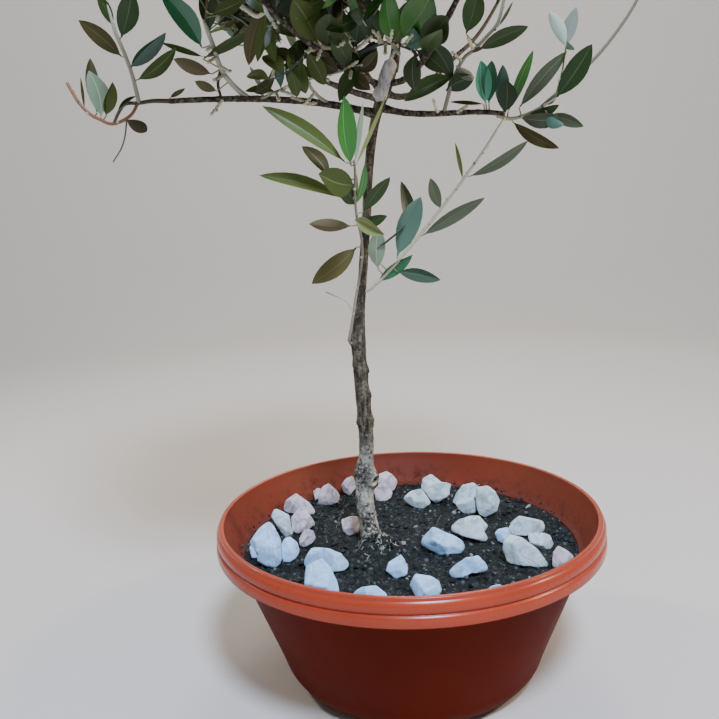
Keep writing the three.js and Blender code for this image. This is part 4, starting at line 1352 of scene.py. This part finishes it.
# Sprays that the photograph shows one by one. A course is pixels of the photograph with a depth in mm,
# and starts on the limb it grows from. One that names a limb runs along it, up to the share of it given
# by until. A leaf is shade, root pixel, tip pixel, how far its tip comes forward in mm, its width in mm,
# its roll in degrees (0 shows the upper side, 90 the edge, 180 the underside) and its habit.
sprays = {
    "left_end": {
        "from": "bough_left", "wood": "woody", "girth": (1.6, 1.0),
        "course": [(170, 100, -25), (153, 101, -26), (139, 103, -27), (125.5, 104, -28), (119, 112, -30),
                   (114, 123, -32)],
        "leaves": [("olive", 170, 98, 185, 89, 6, 4, 30, 0)],
    },
    "left_upright": {
        "from": "left_end", "wood": "pale", "girth": (1.5, 0.9), "fills": "mass_left_tip",
        "course": [(139, 101, -27), (133, 78, -29), (127, 60, -31), (120, 43, -32), (114, 28, -33),
                   (104, -12, -34), (94, -60, -36)],
        "leaves": [
            ("olive", 122, 57, 80, 20, 5, 12, -14, 3),
            ("deep", 112, 27, 98, -6, 0, 8, -14, 3),
            ("deep", 121, 38, 131, -10, 4, 14.5, 8, 3),
            ("blue", 131, 68, 167, 36, 6, 12, 30, 2),
            ("mid", 137, 80, 176, 52, 8, 10, 20, 1),
            ("deep", 136, 97, 116, 108, 6, 5, 60, 1),
        ],
    },
    "left_lower": {
        "from": "left_end", "wood": "rosy", "girth": (1.1, 1.2),
        "course": [(138, 106, -27), (130, 116, -30), (113, 124, -32), (99, 119, -33), (90, 114, -33),
                   (79, 103, -33), (67, 83, -33)],
        "leaves": [
            ("silver", 101, 117, 91, 71, 8, 14, 12, 1),
            ("olive", 97, 113, 91, 57, -4, 10, 20, 0),
            ("soft", 106, 116, 115, 84, 6, 11, 35, 2),
            ("olive", 126, 120, 149, 136, 8, 9.5, 165, 1),
            ("olive", 84, 110, 81, 77, 2, 2.5, 30, 0),
        ],
    },
    "left_drop": {
        "from": "left_lower", "wood": "woody", "girth": (0.6, 0.5),
        "course": [(127, 119, -31), (125, 136, -33), (121, 149, -34), (113, 162, -35)],
    },
    "left_inner": {
        "from": "bough_left", "wood": "pale", "girth": (2.0, 1.3), "fills": "mass_left_inner",
        "course": [
            (250, 102, -18), (238, 90, -20), (226, 77, -21), (219, 64, -22), (214, 48, -23), (208, 32, -24),
            (204, 18, -25), (199, -8, -26), (193, -50, -27)],
        "leaves": [
            ("emerald", 202, 48, 164, -8, 24, 15, 14, 1),
            ("soft", 204, 57, 161, 42, 6, 4.5, 20, 0),
            ("olive", 212, 74, 174, 57, 8, 10, 165, 1),
            ("olive", 217, 91, 195, 80, 5, 7, 165, 1),
            ("deep", 210, 31, 213, -12, 12, 10, 20, 0),
            ("deep", 206, 24, 203, -12, 14, 7, 20, 0),
            ("olive", 224, 28, 236, 20, 4, 4, 30, 0),
        ],
    },
    "left_crossing": {
        "from": "left_inner", "wood": "woody", "girth": (1.3, 0.9),
        "course": [(221, 68, -22), (218, 84, -20), (222, 101, -17)],
        "leaves": [("deep", 203, 59, 260, 29, 10, 9, 35, 0)],
    },
    "left_inner_spur": {
        "from": "bough_left", "wood": "pale", "girth": (1.2, 0.7),
        "course": [(250, 103, -18), (262, 98, -21), (275, 92, -24), (288, 87, -27), (301, 80, -30)],
        "leaves": [
            ("grey", 262, 92, 250, 66, 4, 4, 150, 0),
            ("deep", 261, 93, 280, 58, 5, 4, 60, 0),
            ("blue", 281, 90, 279, 44, 8, 9, 165, 1),
            ("deep", 288, 87, 297, 38, 10, 12, 20, 3),
            ("mid", 276, 92, 246, 88, 8, 6, 40, 1),
        ],
    },
    "fork_spur": {
        "from": "bough_left", "wood": "pale", "girth": (1.3, 0.9),
        "course": [
            (330, 107, -12), (318, 96, -18), (308, 81, -26), (322, 76, -32), (338, 72, -38),
            (362, 65, -44)],
        "leaves": [
            ("deep", 362, 65, 338, 98, 6, 11, 20, 1),
            ("olive", 338, 72, 309, 62, 10, 8, 30, 0),
            ("deep", 350, 69, 330, 34, 14, 13, 15, 3),
            ("mid", 312, 78, 286, 62, 10, 9, 35, 1),
        ],
    },
    "fork_arch": {
        "from": "trunk", "wood": "woody", "girth": (1.7, 1.3),
        "course": [(371, 92, -12), (366, 72, -22), (360, 55, -32), (349, 47.5, -42)],
        "leaves": [
            ("deep", 349, 46, 326, 0, 44, 17, 24, 0),
            ("grey", 372, 45, 352, 20, 10, 8, 140, 1),
            ("deep", 356, 48, 368, -6, 22, 17, 6, 0),
        ],
    },
    "arch_left": {
        "from": "fork_arch", "wood": "cream_painted_highlight", "girth": (1.5, 1.2),
        "course": [(349, 47.5, -42), (338, 48.5, -46), (325, 47, -50), (314, 41, -52), (304, 36, -54)],
        "leaves": [
            ("soft", 318, 44, 288, -6, 52, 19, 10, 3),
            ("deep", 326, 46, 327, 6, 56, 18, 12, 3),
            ("mid", 306, 38, 270, 22, 14, 12, 30, 1),
        ],
    },
    "arch_end": {
        "from": "arch_left", "wood": "pale", "girth": (1.5, 1.3),
        "course": [
            (304, 36, -54), (292, 31, -55), (280, 29, -56), (273, 22, -57), (265, 9, -58), (262, -12, -60)],
        "leaves": [
            ("deep", 279, 28, 300, -8, 10, 15, 12, 3),
            ("mid", 268, 14, 246, -6, 8, 11, 20, 1),
            ("grey", 274, 24, 262, 48, 6, 6, 150, 1),
            ("olive", 263, 10, 245, 66, -10, 11, 20, 1),
            ("soft", 265, 12, 256, 62, -6, 9, 30, 0),
            ("mid", 270, 18, 272, 60, 4, 9, 25, 1),
        ],
    },
    "arch_shade": {
        "from": "arch_left", "wood": "slate", "girth": (0.8, 0.6),
        "course": [(314, 41, -52), (306, 52, -55), (296, 64, -58), (284, 74, -61), (270, 80, -64)],
        "leaves": [
            ("olive", 311, 46, 337, 74, -6, 12, 20, 1),
            ("soft", 306, 52, 324, 86, -8, 12, 15, 0),
            ("mid", 301, 59, 303, 95, -6, 12, 20, 1),
            ("deep", 298, 62, 314, 36, -8, 12, 20, 0),
            ("olive", 296, 64, 268, 48, -8, 9, 20, 1),
            ("mid", 290, 70, 296, 98, -6, 10, 30, 0),
            ("mid", 288, 71, 296, 44, -8, 11, 20, 1),
            ("soft", 282, 75, 262, 50, -10, 11, 25, 1),
            ("olive", 275, 78, 254, 93, -6, 8, 20, 0),
            ("soft", 270, 80, 244, 72, -8, 8, 30, 1),
        ],
    },
    "fork_shade": {
        "from": "fork_arch", "wood": "slate", "girth": (0.9, 0.7),
        "course": [(366, 72, -22), (356, 71, -33), (343, 66, -42)],
        "leaves": [
            ("deep", 362, 72, 348, 50, 4, 10, 20, 0),
            ("olive", 357, 71, 378, 54, 6, 10, 20, 1),
            ("olive", 354, 70, 367, 89, 6, 10, 20, 1),
            ("olive", 350, 69, 332, 55, 6, 9, 20, 0),
            ("deep", 345, 67, 353, 86, 8, 10, 25, 0),
            ("deep", 360, 72, 374, 40, 6, 11, 15, 3),
        ],
    },
    "arch_tip": {
        "from": "arch_end", "wood": "cream_painted_highlight", "girth": (1.5, 1.5),
        "course": [(266, 11, -58), (257, 16, -57), (247, 10, -56), (237, 3, -55), (228, -8, -54)],
    },
    "fork_drooping": {
        "from": "fork_arch", "wood": "slate", "girth": (1.6, 1.1),
        "course": [
            (360, 52, -34), (373, 46, -37), (386, 43, -39), (400, 45, -41), (412, 50, -43), (417, 56, -44)],
        "leaves": [
            ("grey", 417, 52, 414, 89, 6, 12, 12, 1),
            ("blue", 404, 44, 434, 30, 12, 9, 160, 4),
            ("fresh", 402, 38, 434, -14, 48, 22, 12, 3),
            ("fresh", 394, 40, 388, -8, 38, 15, 22, 0),
            ("deep", 416, 50, 444, 72, 8, 12, 18, 0),
            ("deep", 420, 46, 452, 8, 72, 17, 12, 3),
            ("deep", 424, 52, 440, 34, 62, 12, 20, 0),
            ("mid", 396, 45, 420, -4, 10, 15, 16, 0),
            ("deep", 384, 43, 356, 2, 14, 16, 10, 3),
            ("blue", 408, 46, 418, 24, 10, 8, 170, 4),
        ],
    },
    "right_inner": {
        "from": "bough_right", "wood": "pale", "girth": (1.5, 0.9), "fills": "mass_right_inner",
        "course": [
            (444, 111, -8), (453, 80, -9), (464, 58, -10), (474, 50, -10), (487, 36, -11), (498, 22, -12),
            (505, -6, -13), (512, -50, -15)],
        "leaves": [
            ("deep", 478, 50, 529, 27, 6, 11, 14, 0),
            ("deep", 466, 34, 477, -12, 6, 15, 8, 3),
            ("grey", 498, 27, 514, 2, 4, 5, 60, 0),
            ("deep", 453, 77, 406, 97, 12, 12, 20, 1),
            ("deep", 446, 90, 474, 78, 8, 13, 16, 0),
            ("grey", 456, 66, 472, 84, 6, 9, 150, 1),
            ("olive", 470, 53, 485, 47, 4, 3, 30, 0),
            ("deep", 452, 78, 430, 42, 10, 13, 12, 3),
        ],
    },
    "right_end": {
        "from": "bough_right", "wood": "cream_painted_highlight", "girth": (1.6, 0.9),
        "course": [
            (482, 107, 0), (492, 112, -1), (504, 118, -2), (516, 118, -3), (530, 113, -4), (541, 107, -5),
            (556, 98, -7)],
        "leaves": [
            # This leaf's colour is its turquoise glint, painted highlight
            ("jade_painted_glint", 486, 104, 483, 60, 5, 13, 22, 2),
            ("emerald", 489, 104, 493, 60, 3, 12, 22, 0),
            ("blue", 504, 113, 505, 65, 2, 11, 165, 1),
            ("deep", 505, 113, 506, 79, 8, 14, 8, 3),
            ("fresh", 508, 112, 535, 50, 4, 9, 30, 0),
            ("grey", 519, 108, 568, 51, 6, 11, 10, 0),
            ("deep", 557, 98, 591, 44, 6, 15, 10, 3),
            ("grey", 519, 117, 564, 120, 10, 11, 20, 1),
            ("grey", 548, 115, 583, 127, 12, 9, 20, 0),
            ("deep", 524, 114, 560, 108, 5, 8, 30, 1),
            ("blue", 546, 113, 566, 133, 14, 8, 165, 4),
            ("olive", 512, 121, 557, 151, 8, 9, 25, 1),
            ("olive", 484, 104, 450, 101, 5, 4, 40, 0),
            ("grey", 545, 104, 556, 96, 4, 4, 20, 1),
        ],
    },
    "right_far": {
        "from": "right_end", "wood": "woody", "girth": (1.3, 0.9), "fills": "mass_right_tip",
        "course": [(541, 107, -5), (570, 82, -3), (597, 56, -1), (618, 30, 1), (636, 2, 2), (646, -24, 2),
                   (650, -60, 2)],
    },
    "right_pale": {
        "from": "right_end", "wood": "green", "girth": (0.7, 0.5),
        "course": [(555, 98, -7), (562, 72, -8), (566, 46, -9)],
        "leaves": [
            ("silver", 565, 47, 549, 11, 2, 9, 175, 0),
            ("grey", 566, 47, 577, 9, 0, 10, 170, 1),
            ("blue", 565, 49, 574, 36, 12, 8, 160, 4),
        ],
    },
    "front_shoot": {
        "limb": "shoot_front", "wood": "fawn", "girth": (1.1, 0.8), "until": 0.84,
        "leaves": [
            ("soft", 346, 163, 264, 102, 10, 10.5, 20, 1),
            ("fresh", 351, 166, 346, 96, 8, 13.5, 16, 2),
            ("lime", 355, 168, 388, 94, 4, 3.4, 30, 0),
            ("silver", 356, 166, 364, 103, 0, 4.5, 25, 0),
            ("mid", 353, 186, 322, 174, 34, 18, 12, 0),
            ("soft", 344, 199, 260, 169, 6, 10, 35, 1),
            ("olive", 330, 178, 303, 142, -6, 10, 25, 1),
            ("deep", 363, 212, 391, 178, 4, 10, 25, 0),
            ("deep", 359, 222, 386, 218, 6, 8, 20, 1),
            ("lime", 355, 220, 381, 235, 16, 11, 25, 2),
            ("olive", 357, 247, 311, 283, 6, 15, 18, 0),
            ("olive", 352, 226, 308, 221, 8, 10, 160, 1),
            ("deep", 356, 206, 340, 186, 12, 12, 18, 3),
            ("lime", 357, 204, 357, 174, 8, 4, 30, 0),
            ("fresh", 357, 204, 368, 166, 10, 6, 40, 1),
        ],
    },
    "front_dead": {
        "from": "shoot_front", "wood": "pale", "girth": (0.5, 0.45),
        "course": [(353, 311, -19), (346, 301, -20), (335, 296, -22), (326, 292, -24)],
    },
    "right_shoot": {
        "limb": "shoot_right", "wood": "cream_painted_highlight", "girth": (1.4, 0.9),
        "leaves": [
            ("silver", 378, 269, 379, 228, 8, 13, 15, 0),
            ("blue", 397, 257, 425, 196, 10, 17, 165, 1),
            ("deep", 370, 254, 411, 223, 10, 4, 70, 0),
            ("grey", 422, 236, 486, 199, 6, 11, 30, 0),
            ("grey", 441, 211, 431, 178, 4, 9, 20, 0),
            ("emerald", 378, 283, 413, 257, 6, 10, 25, 2),
            ("blue", 397, 272, 440, 281, 10, 11, 25, 0),
            ("soft", 463, 180, 456, 142, 3, 4, 40, 0),
            ("grey", 468, 177, 531, 144, 4, 8, 30, 1),
            ("grey", 410, 246, 404, 178, -12, 10, 20, 1),
        ],
    },
    "right_shoot_tip": {
        "from": "shoot_right", "wood": "cream_painted_highlight", "girth": (0.9, 0.7),
        "course": [(494, 134, -46), (500, 125, -43), (505, 118, -38)],
    },
}

# Short knobbly spurs in the middle of the crown: the limb of each, then its foot and its tip in pixels
spurs = {
    "girth": (0.95, 0.75),
    "cut": (6, 16),
    "knob": 0.65,
    "knobTurn": 0.9,
    "forward": 10,
    "budEvery": 3.5,
    "budsAlong": (0.25, 1),
    "places": [
        ("arch_left", 330, 47, 305, 51), ("arch_left", 338, 48, 335, 41), ("fork_arch", 350, 47, 345, 31),
        ("fork_arch", 355, 49, 372, 36), ("arch_left", 320, 45, 318, 33), ("arch_left", 310, 39, 298, 34),
        ("arch_left", 334, 48, 344, 42), ("bough_left", 320, 105, 304, 104),
        ("bough_left", 225, 105, 211, 115), ("bough_left", 306, 104, 291, 97),
        ("fork_arch", 364, 66, 352, 74), ("fork_spur", 318, 78, 329, 80), ("fork_spur", 345, 70, 358, 61),
        ("fork_spur", 330, 74, 324, 64), ("fork_spur", 316, 92, 306, 103),
        ("fork_drooping", 386, 43, 385, 54), ("fork_drooping", 392, 44, 400, 55),
        ("fork_drooping", 398, 45, 391, 58), ("fork_drooping", 380, 44, 378, 32),
        ("fork_drooping", 404, 46, 413, 34), ("fork_drooping", 390, 43, 392, 30),
        ("left_inner", 217, 58, 208, 62), ("left_inner", 219, 66, 230, 72),
        ("left_inner", 213, 46, 206, 50), ("left_inner", 224, 75, 214, 80),
        ("left_inner_spur", 276, 92, 279, 100), ("left_inner_spur", 284, 89, 290, 85),
        ("left_inner_spur", 268, 95, 276, 62), ("arch_end", 292, 31, 291, 21),
        ("arch_end", 275, 24, 284, 19), ("right_inner", 462, 61, 452, 52),
        ("right_inner", 474, 50, 468, 38), ("bough_right", 437, 109, 433, 99),
        ("bough_right", 456, 111, 467, 106), ("arch_left", 314, 41, 308, 53),
        ("arch_left", 322, 46, 317, 60), ("fork_drooping", 384, 44, 372, 30),
        ("fork_drooping", 389, 43, 385, 23), ("fork_arch", 352, 48, 341, 20),
        ("fork_spur", 352, 68, 350, 78), ("arch_end", 270, 18, 276, 28),
        ("left_inner_spur", 280, 90, 293, 95),
    ],
}

# A leaf has its own stalk where its root stands further off the twig than this. A cut is sides and rings.
stalk = {"from": 1.5, "girth": (0.55, 0.45), "cut": (5, 2)}
sprayCut = (8, 40)


# Hangs a leaf as the photograph shows it
def hangPhotoLeaf(limb, shade, rootX, rootY, tipX, tipY, forward, width, roll, habit):
    seat = limb.at(limb.nearPixel(rootX, rootY))
    root = photoSpot(rootX, rootY, seat[1])
    if np.linalg.norm(root - seat) > stalk["from"]:
        hangBar("green", Limb([seat, root]), tapered(*stalk["girth"]), *stalk["cut"])
    else:
        root = seat
    tip = photoSpot(tipX, tipY, root[1] - forward)
    heading = unit(tip - root)
    face = squareTo(heading, unit(np.array(cameraView["stands"]) - root))
    turn = math.radians(roll)
    face = face * math.cos(turn) + np.cross(heading, face) * math.sin(turn)
    hangLeaf(shade, habit, root, heading, face, np.linalg.norm(tip - root), width, "fine")


# Sprays that serve a mass as its stem
fillStems = {}


# Grows a spray's twig, with buds where it bears leaves, and keeps it as the stem of the mass that it fills
def hangSpray(name, spray, seed):
    if "limb" in spray:
        limb = limbs[spray["limb"]]
        last = round((len(limb.points) - 1) * spray.get("until", 1)) + 1
        drawn, limb = Limb(limb.rooted.points[:last]), Limb(limb.points[:last])
    else:
        parent = limbs[spray["from"]]
        pixels = spray["course"]
        foot = parent.at(parent.nearPixel(*pixels[0][:2]))
        points = [foot] + [photoSpot(*pixel) for pixel in pixels[1:]]
        limb = drawn = Limb(courseThrough(points), tapered(*spray["girth"]))
        limbs[name] = limb
    hangBar(spray["wood"], drawn, tapered(*spray["girth"]), *sprayCut)
    if "leaves" in spray:
        hangBuds(limb, spray["girth"][1], *buds["along"], seed)
    for leaf in spray.get("leaves", []):
        hangPhotoLeaf(limb, *leaf)
    if "fills" in spray:
        fillStems[spray["fills"]] = limb


# A spur swells at every old leaf scar and ends in a fat bud
def hangSpur(parentName, footX, footY, tipX, tipY):
    parent = limbs[parentName]
    foot = parent.at(parent.nearPixel(footX, footY))
    limb = Limb([foot, photoSpot(tipX, tipY, foot[1] - spurs["forward"])], count=16)

    def girth(along, bearing):
        knob = math.sin(along * limb.length * spurs["knobTurn"]) ** 4
        return lerp(*spurs["girth"], along) + spurs["knob"] * knob
    # Spurs take the cream tone, partly painted highlight
    hangBar("cream_painted_highlight", limb, girth, *spurs["cut"])
    hangBuds(limb, spurs["girth"][1], *spurs["budsAlong"], len(budCopies) + 7, spurs["budEvery"])


for sprayIndex, (sprayName, sprayPlan) in enumerate(sprays.items()):
    hangSpray(sprayName, sprayPlan, 300 + sprayIndex)
for place in spurs["places"]:
    hangSpur(*place)
print("sprays and spurs hung")

# Space: all that lies nearer to a mass's own heart than to any other, and inside the dome of the crown
heartNames = list(massPlans)
heartAlong = 0.66
hearts = np.array([limbs[name].at(heartAlong) for name in heartNames])

# Marks along each limb of the solids, from which leaves and twigs keep clear
markCount = 17
marks = [(name, i / (markCount - 1)) for name in ["trunk", *boughPlans, *massPlans] for i in range(markCount)]
markSpots = np.array([limbs[name].at(along) for name, along in marks])
markGirths = np.array([limbs[name].girth(along, 0) for name, along in marks])
marksOfOthers = {name: np.array([owner != name for owner, _ in marks]) for name in massPlans}


def insideDome(spot):
    rise = spot[2] - crown["z"]
    tall = crown["up"] if rise > 0 else crown["down"]
    level = ((spot[0] - crown["x"]) / crown["across"]) ** 2 + ((spot[1] - crown["y"]) / crown["deep"]) ** 2
    floor = underside["height"] + underside["rise"] * max(0, underside["front"] - spot[1])
    return level + (rise / tall) ** 2 < 1 and spot[2] > floor


def insideSpace(name, spot):
    if not insideDome(spot):
        return False
    own = heartNames.index(name)
    away = ((hearts - spot) ** 2).sum(1)
    apart = np.linalg.norm(hearts - hearts[own], axis=1)
    apart[own] = 1
    border = (away - away[own]) / (2 * apart)
    border[own] = math.inf
    return border.min() > growth["clearGap"]


def clearOfLimbs(name, spot, margin):
    away = np.linalg.norm(markSpots - spot, axis=1) - markGirths
    return away[marksOfOthers[name]].min() > margin


# The lower edge of the crown's dense part in the photograph's pixels, and how much higher it is for what
# hangs nearer to the viewer than a given depth
crownEdge = {
    "pixels": [(-400, -26), (188, -26), (204, 20), (236, 44), (262, 46), (280, 42), (300, 56), (345, 56),
               (372, 48), (390, 18), (442, 18), (454, 6), (470, -22), (1200, -22)],
    "nearDepth": -45,
    "nearRise": 0.55,
}


def pastEdge(spots):
    seen = pixelsOf(spots)
    edge = np.interp(seen[:, 0], *zip(*crownEdge["pixels"]))
    edge -= crownEdge["nearRise"] * np.maximum(0, crownEdge["nearDepth"] - spots[:, 1])
    return (seen[:, 1] > edge).any()


# Where twigs leave their stem and how they lean. A value with a spread is its least and how much more.
twigRule = {
    "from": 0.2,
    "over": 0.72,
    "swing": 0.7,
    "lean": (44, 18),
    "shorter": 0.35,
    "size": (0.8, 0.3),
    "tries": (1, 0.75, 0.5),
    "sag": 0.07,
}


# Twigs leave a stem in opposite pairs, each a quarter turn from the last, and are shorter towards its tip
def growTwigs(name, stem, pairs, reach, draw):
    rule = twigRule
    twigs = []
    for pair in range(pairs):
        along = rule["from"] + rule["over"] * pair / pairs
        for half in range(2):
            turn = (pair + 2 * half) * math.pi / 2 + rule["swing"] * draw()
            lean = math.radians(rule["lean"][0] + rule["lean"][1] * draw())
            heading = leaned(stem.heading(along), turn, lean)
            size = rule["size"][0] + rule["size"][1] * draw()
            long = reach * (1 - rule["shorter"] * along) * size
            foot = stem.at(along)
            for share in rule["tries"]:
                tip = foot + heading * long * share
                if twigFits(name, foot, tip, heading):
                    sag = np.array([0, 0, rule["sag"] * long * share])
                    twigs.append(Limb(courseThrough([foot, (foot + tip) / 2 - sag, tip], 5), count=12))
                    break
    return twigs


# A twig keeps clear of the limbs, and leaves room between its tip and the edge of the space for its leaves
def twigFits(name, foot, tip, heading):
    end = tip + heading * growth["leafRoom"] * growth["leafLength"]
    if not insideSpace(name, end) or pastEdge(np.array([(foot + tip) / 2, tip, end])):
        return False
    return all(clearOfLimbs(name, foot + (tip - foot) * share, growth["twigGirth"][1] + growth["clearGap"])
               for share in (0.25, 0.5, 0.75, 1))


# How leaves stand on their twig, how their sizes vary, and where along them they are held clear of others
leafRule = {
    "tipLean": 0.12,
    "swing": 0.5,
    "leanSpread": 16,
    "size": (0.72, 0.45),
    "smallFrom": 0.8,
    "small": 0.8,
    "width": (0.85, 0.15),
    "nudges": (0, 0.8, -0.8),
    "widest": 0.42,
    "held": (0.25, 0.6, 1),
    "heldWidth": 0.3,
    "middle": 0.6,
}


# A leaf stays in the space of its mass, clear of the limbs and of the leaves already there
def leafFits(name, root, heading, side, length, width, taken):
    widest = root + heading * length * leafRule["widest"]
    edge = np.array([root + heading * length, widest + side * width / 2, widest - side * width / 2])
    if not all(insideSpace(name, spot) for spot in edge) or pastEdge(edge):
        return False
    for along in leafRule["held"]:
        margin = leafRule["heldWidth"] * width * (1 - along) + growth["clearGap"]
        if not clearOfLimbs(name, root + heading * length * along, margin):
            return False
    spots = np.array([root + heading * length * leafRule["middle"], edge[0]])
    if taken:
        others = np.array(taken)
        for spot in spots:
            if np.linalg.norm(others - spot, axis=1).min() < growth["leafSpace"]:
                return False
    taken += list(spots)
    return True


# Leaves stand in opposite pairs along a twig, each pair a quarter turn from the last, with one at its tip
def growLeaves(name, twig, start, shade, draw, taken):
    rule = leafRule
    pairs = int(twig.length * (1 - start) / growth["leafGap"])
    places = [(1 - growth["leafRoot"] / twig.length, 0, rule["tipLean"])]
    for pair in range(pairs):
        along = 1 - (pair * growth["leafGap"] + 2 * growth["leafRoot"]) / twig.length
        turn = pair * math.pi / 2 + rule["swing"] * draw()
        lean = math.radians(growth["leafLean"] + rule["leanSpread"] * (draw() - 0.5))
        places += [(along, turn, lean), (along, turn + math.pi, lean)]
    for along, turn, lean in places:
        size = rule["size"][0] + rule["size"][1] * draw()
        if along >= rule["smallFrom"]:
            size *= rule["small"]
        habit = int(len(leafBlade["habits"]) * draw())
        length = growth["leafLength"] * size
        width = growth["leafWidth"] * (rule["width"][0] + rule["width"][1] * size)
        root, spine = twig.at(along), twig.heading(along)
        for nudge in rule["nudges"]:
            heading = leaned(spine, turn + nudge, lean)
            face = squareTo(heading, spine)
            if leafFits(name, root, heading, np.cross(face, heading), length, width, taken):
                hangLeaf(shade, habit, root, heading, face, length, width)
                break


# How large a share of the grown sprays each shade has
shadeDeal = [("deep", 0.42), ("mid", 0.26), ("blue", 0.05), ("olive", 0.08), ("fresh", 0.08), ("soft", 0.05),
             ("grey", 0.06)]


def dealShade(draw):
    pick = draw()
    for shade, share in shadeDeal:
        pick -= share
        if pick < 0:
            return shade
    return "mid"


# Grows a mass on its stem: twigs, finer twigs on them and between them, and their leaves
def growMass(name, seed):
    plan = massPlans[name]
    draw = drawFrom(seed)
    stem = fillStems.get(name, limbs[name])
    taken = []
    pairs, reach = plan.get("pairs", growth["pairs"]), plan["reach"]
    twigs = growTwigs(name, stem, pairs, reach, draw)
    fillers = growTwigs(name, stem, pairs + growth["morePairs"], reach * growth["betweenReach"], draw)
    twiglets = []
    for twig in twigs:
        twiglets += growTwigs(name, twig, growth["twigletPairs"], reach * growth["twigletReach"], draw)
    if name not in fillStems:
        hangBar("woody", stem.rooted, tapered(*growth["stemGirth"]), *growth["stemCut"])
    growLeaves(name, stem, growth["bareStem"], dealShade(draw), draw, taken)
    for twig in twigs:
        hangBar("woody", twig, tapered(*growth["twigGirth"]), *growth["twigCut"])
        budSeed = seed + len(budCopies)
        hangBuds(twig, growth["twigGirth"][1], *growth["budsAlong"], budSeed, growth["budEvery"])
        growLeaves(name, twig, growth["bareTwig"], dealShade(draw), draw, taken)
    for twig in twiglets + fillers:
        kind = "pale" if draw() < growth["paleShare"] else "green"
        hangBar(kind, twig, tapered(*growth["twigletGirth"]), *growth["twigletCut"])
        growLeaves(name, twig, growth["bareTwiglet"], dealShade(draw), draw, taken)


# Each mass has its own run of draws
for massIndex, massName in enumerate(massPlans):
    if "reach" in massPlans[massName]:
        growMass(massName, 101 + 37 * massIndex)
print("crown grown:", sum(len(group) for group in leaves.values()), "leaves")


def addFoliage():
    masses = list(massPlans)
    for shade, group in leaves.items():
        mesh = joinCopies("leaves_" + shade, group)
        addPiece("leaves_" + shade, mesh, leafFinishes(shade), masses, 60)
    dull = {"Roughness": 0.7, "Specular IOR Level": 0.3}
    for kind, group in bars.items():
        finishes = plainFinishes(kind + "_twig", twigKinds[kind].split(), dull)
        addPiece("twigs_" + kind, joinCopies("twigs_" + kind, group), finishes, masses, 60)
    # Bud tones, partly painted highlight
    finishes = plainFinishes("bud", buds["colours"].split(), dull)
    addPiece("buds", joinCopies("buds", budCopies), finishes, masses, 60)


addFoliage()
print("foliage hung")

# Fine roots at the trunk's foot, and dead bits lying on the soil, given by the photograph's pixels
litter = {
    "roots": 120,
    "rootSpread": 17,
    "rootBunch": 0.7,
    "rootWind": 1.8,
    "rootReach": (1, 5),
    "rootGirth": (0.3, 0.15),
    "rootColours": "#9fa191 #6c6e62 #c0c1af",
    "bits": [
        [(348.5, 502), (345, 505.5), (343, 509), (340.5, 514), (338.5, 519), (336, 528)],
        [(343, 509), (341, 511.5), (339, 514)],
        [(435, 526), (438, 522), (441, 518)],
        [(366, 590), (369, 587), (369, 582), (366, 580)],
        [(386, 545), (391, 549), (392, 554)],
    ],
    "bitGirth": (0.24, 0.16),
    "bitHeight": 1.5,
    "bitLift": 0.6,
    "lift": 0.5,
}


def addLitter():
    draw = drawFrom(17)
    copies = []

    # Lays one fibre along a few points
    def lay(points, girths, finish):
        limb = Limb(courseThrough(points, 6))
        copies.append(inPlace(bendBar(limb, 5, 8, tapered(*girths), finish=finish)))
    for _ in range(litter["roots"]):
        place = litter["rootSpread"] * draw() ** litter["rootBunch"]
        bearing, heading = math.tau * draw(), math.tau * draw()
        reach = lerp(*litter["rootReach"], draw() ** 2)
        spot = np.array([*soilBed["moundAt"], 0]) + place * compass(bearing)
        points = []
        for _ in range(4):
            spot = onSoil(spot + reach / 3 * compass(heading), litter["lift"])
            points.append(spot)
            heading += litter["rootWind"] * (draw() - 0.5)
        lay(points, litter["rootGirth"], int(3 * draw()))
    for bit in litter["bits"]:
        points = []
        for px, py in bit:
            spot = photoSpot(px, py, soilBed["top"] + litter["bitHeight"], heightAxis)
            points.append(onSoil(spot, litter["lift"] + litter["bitLift"] * draw()))
        lay(points, litter["bitGirth"], 1)
    finishes = plainFinishes("root_fibre", litter["rootColours"].split(), {"Roughness": 0.85})
    addPiece("root_fibres", joinCopies("root_fibres", copies), finishes, (), 60)


addLitter()
print("litter laid")
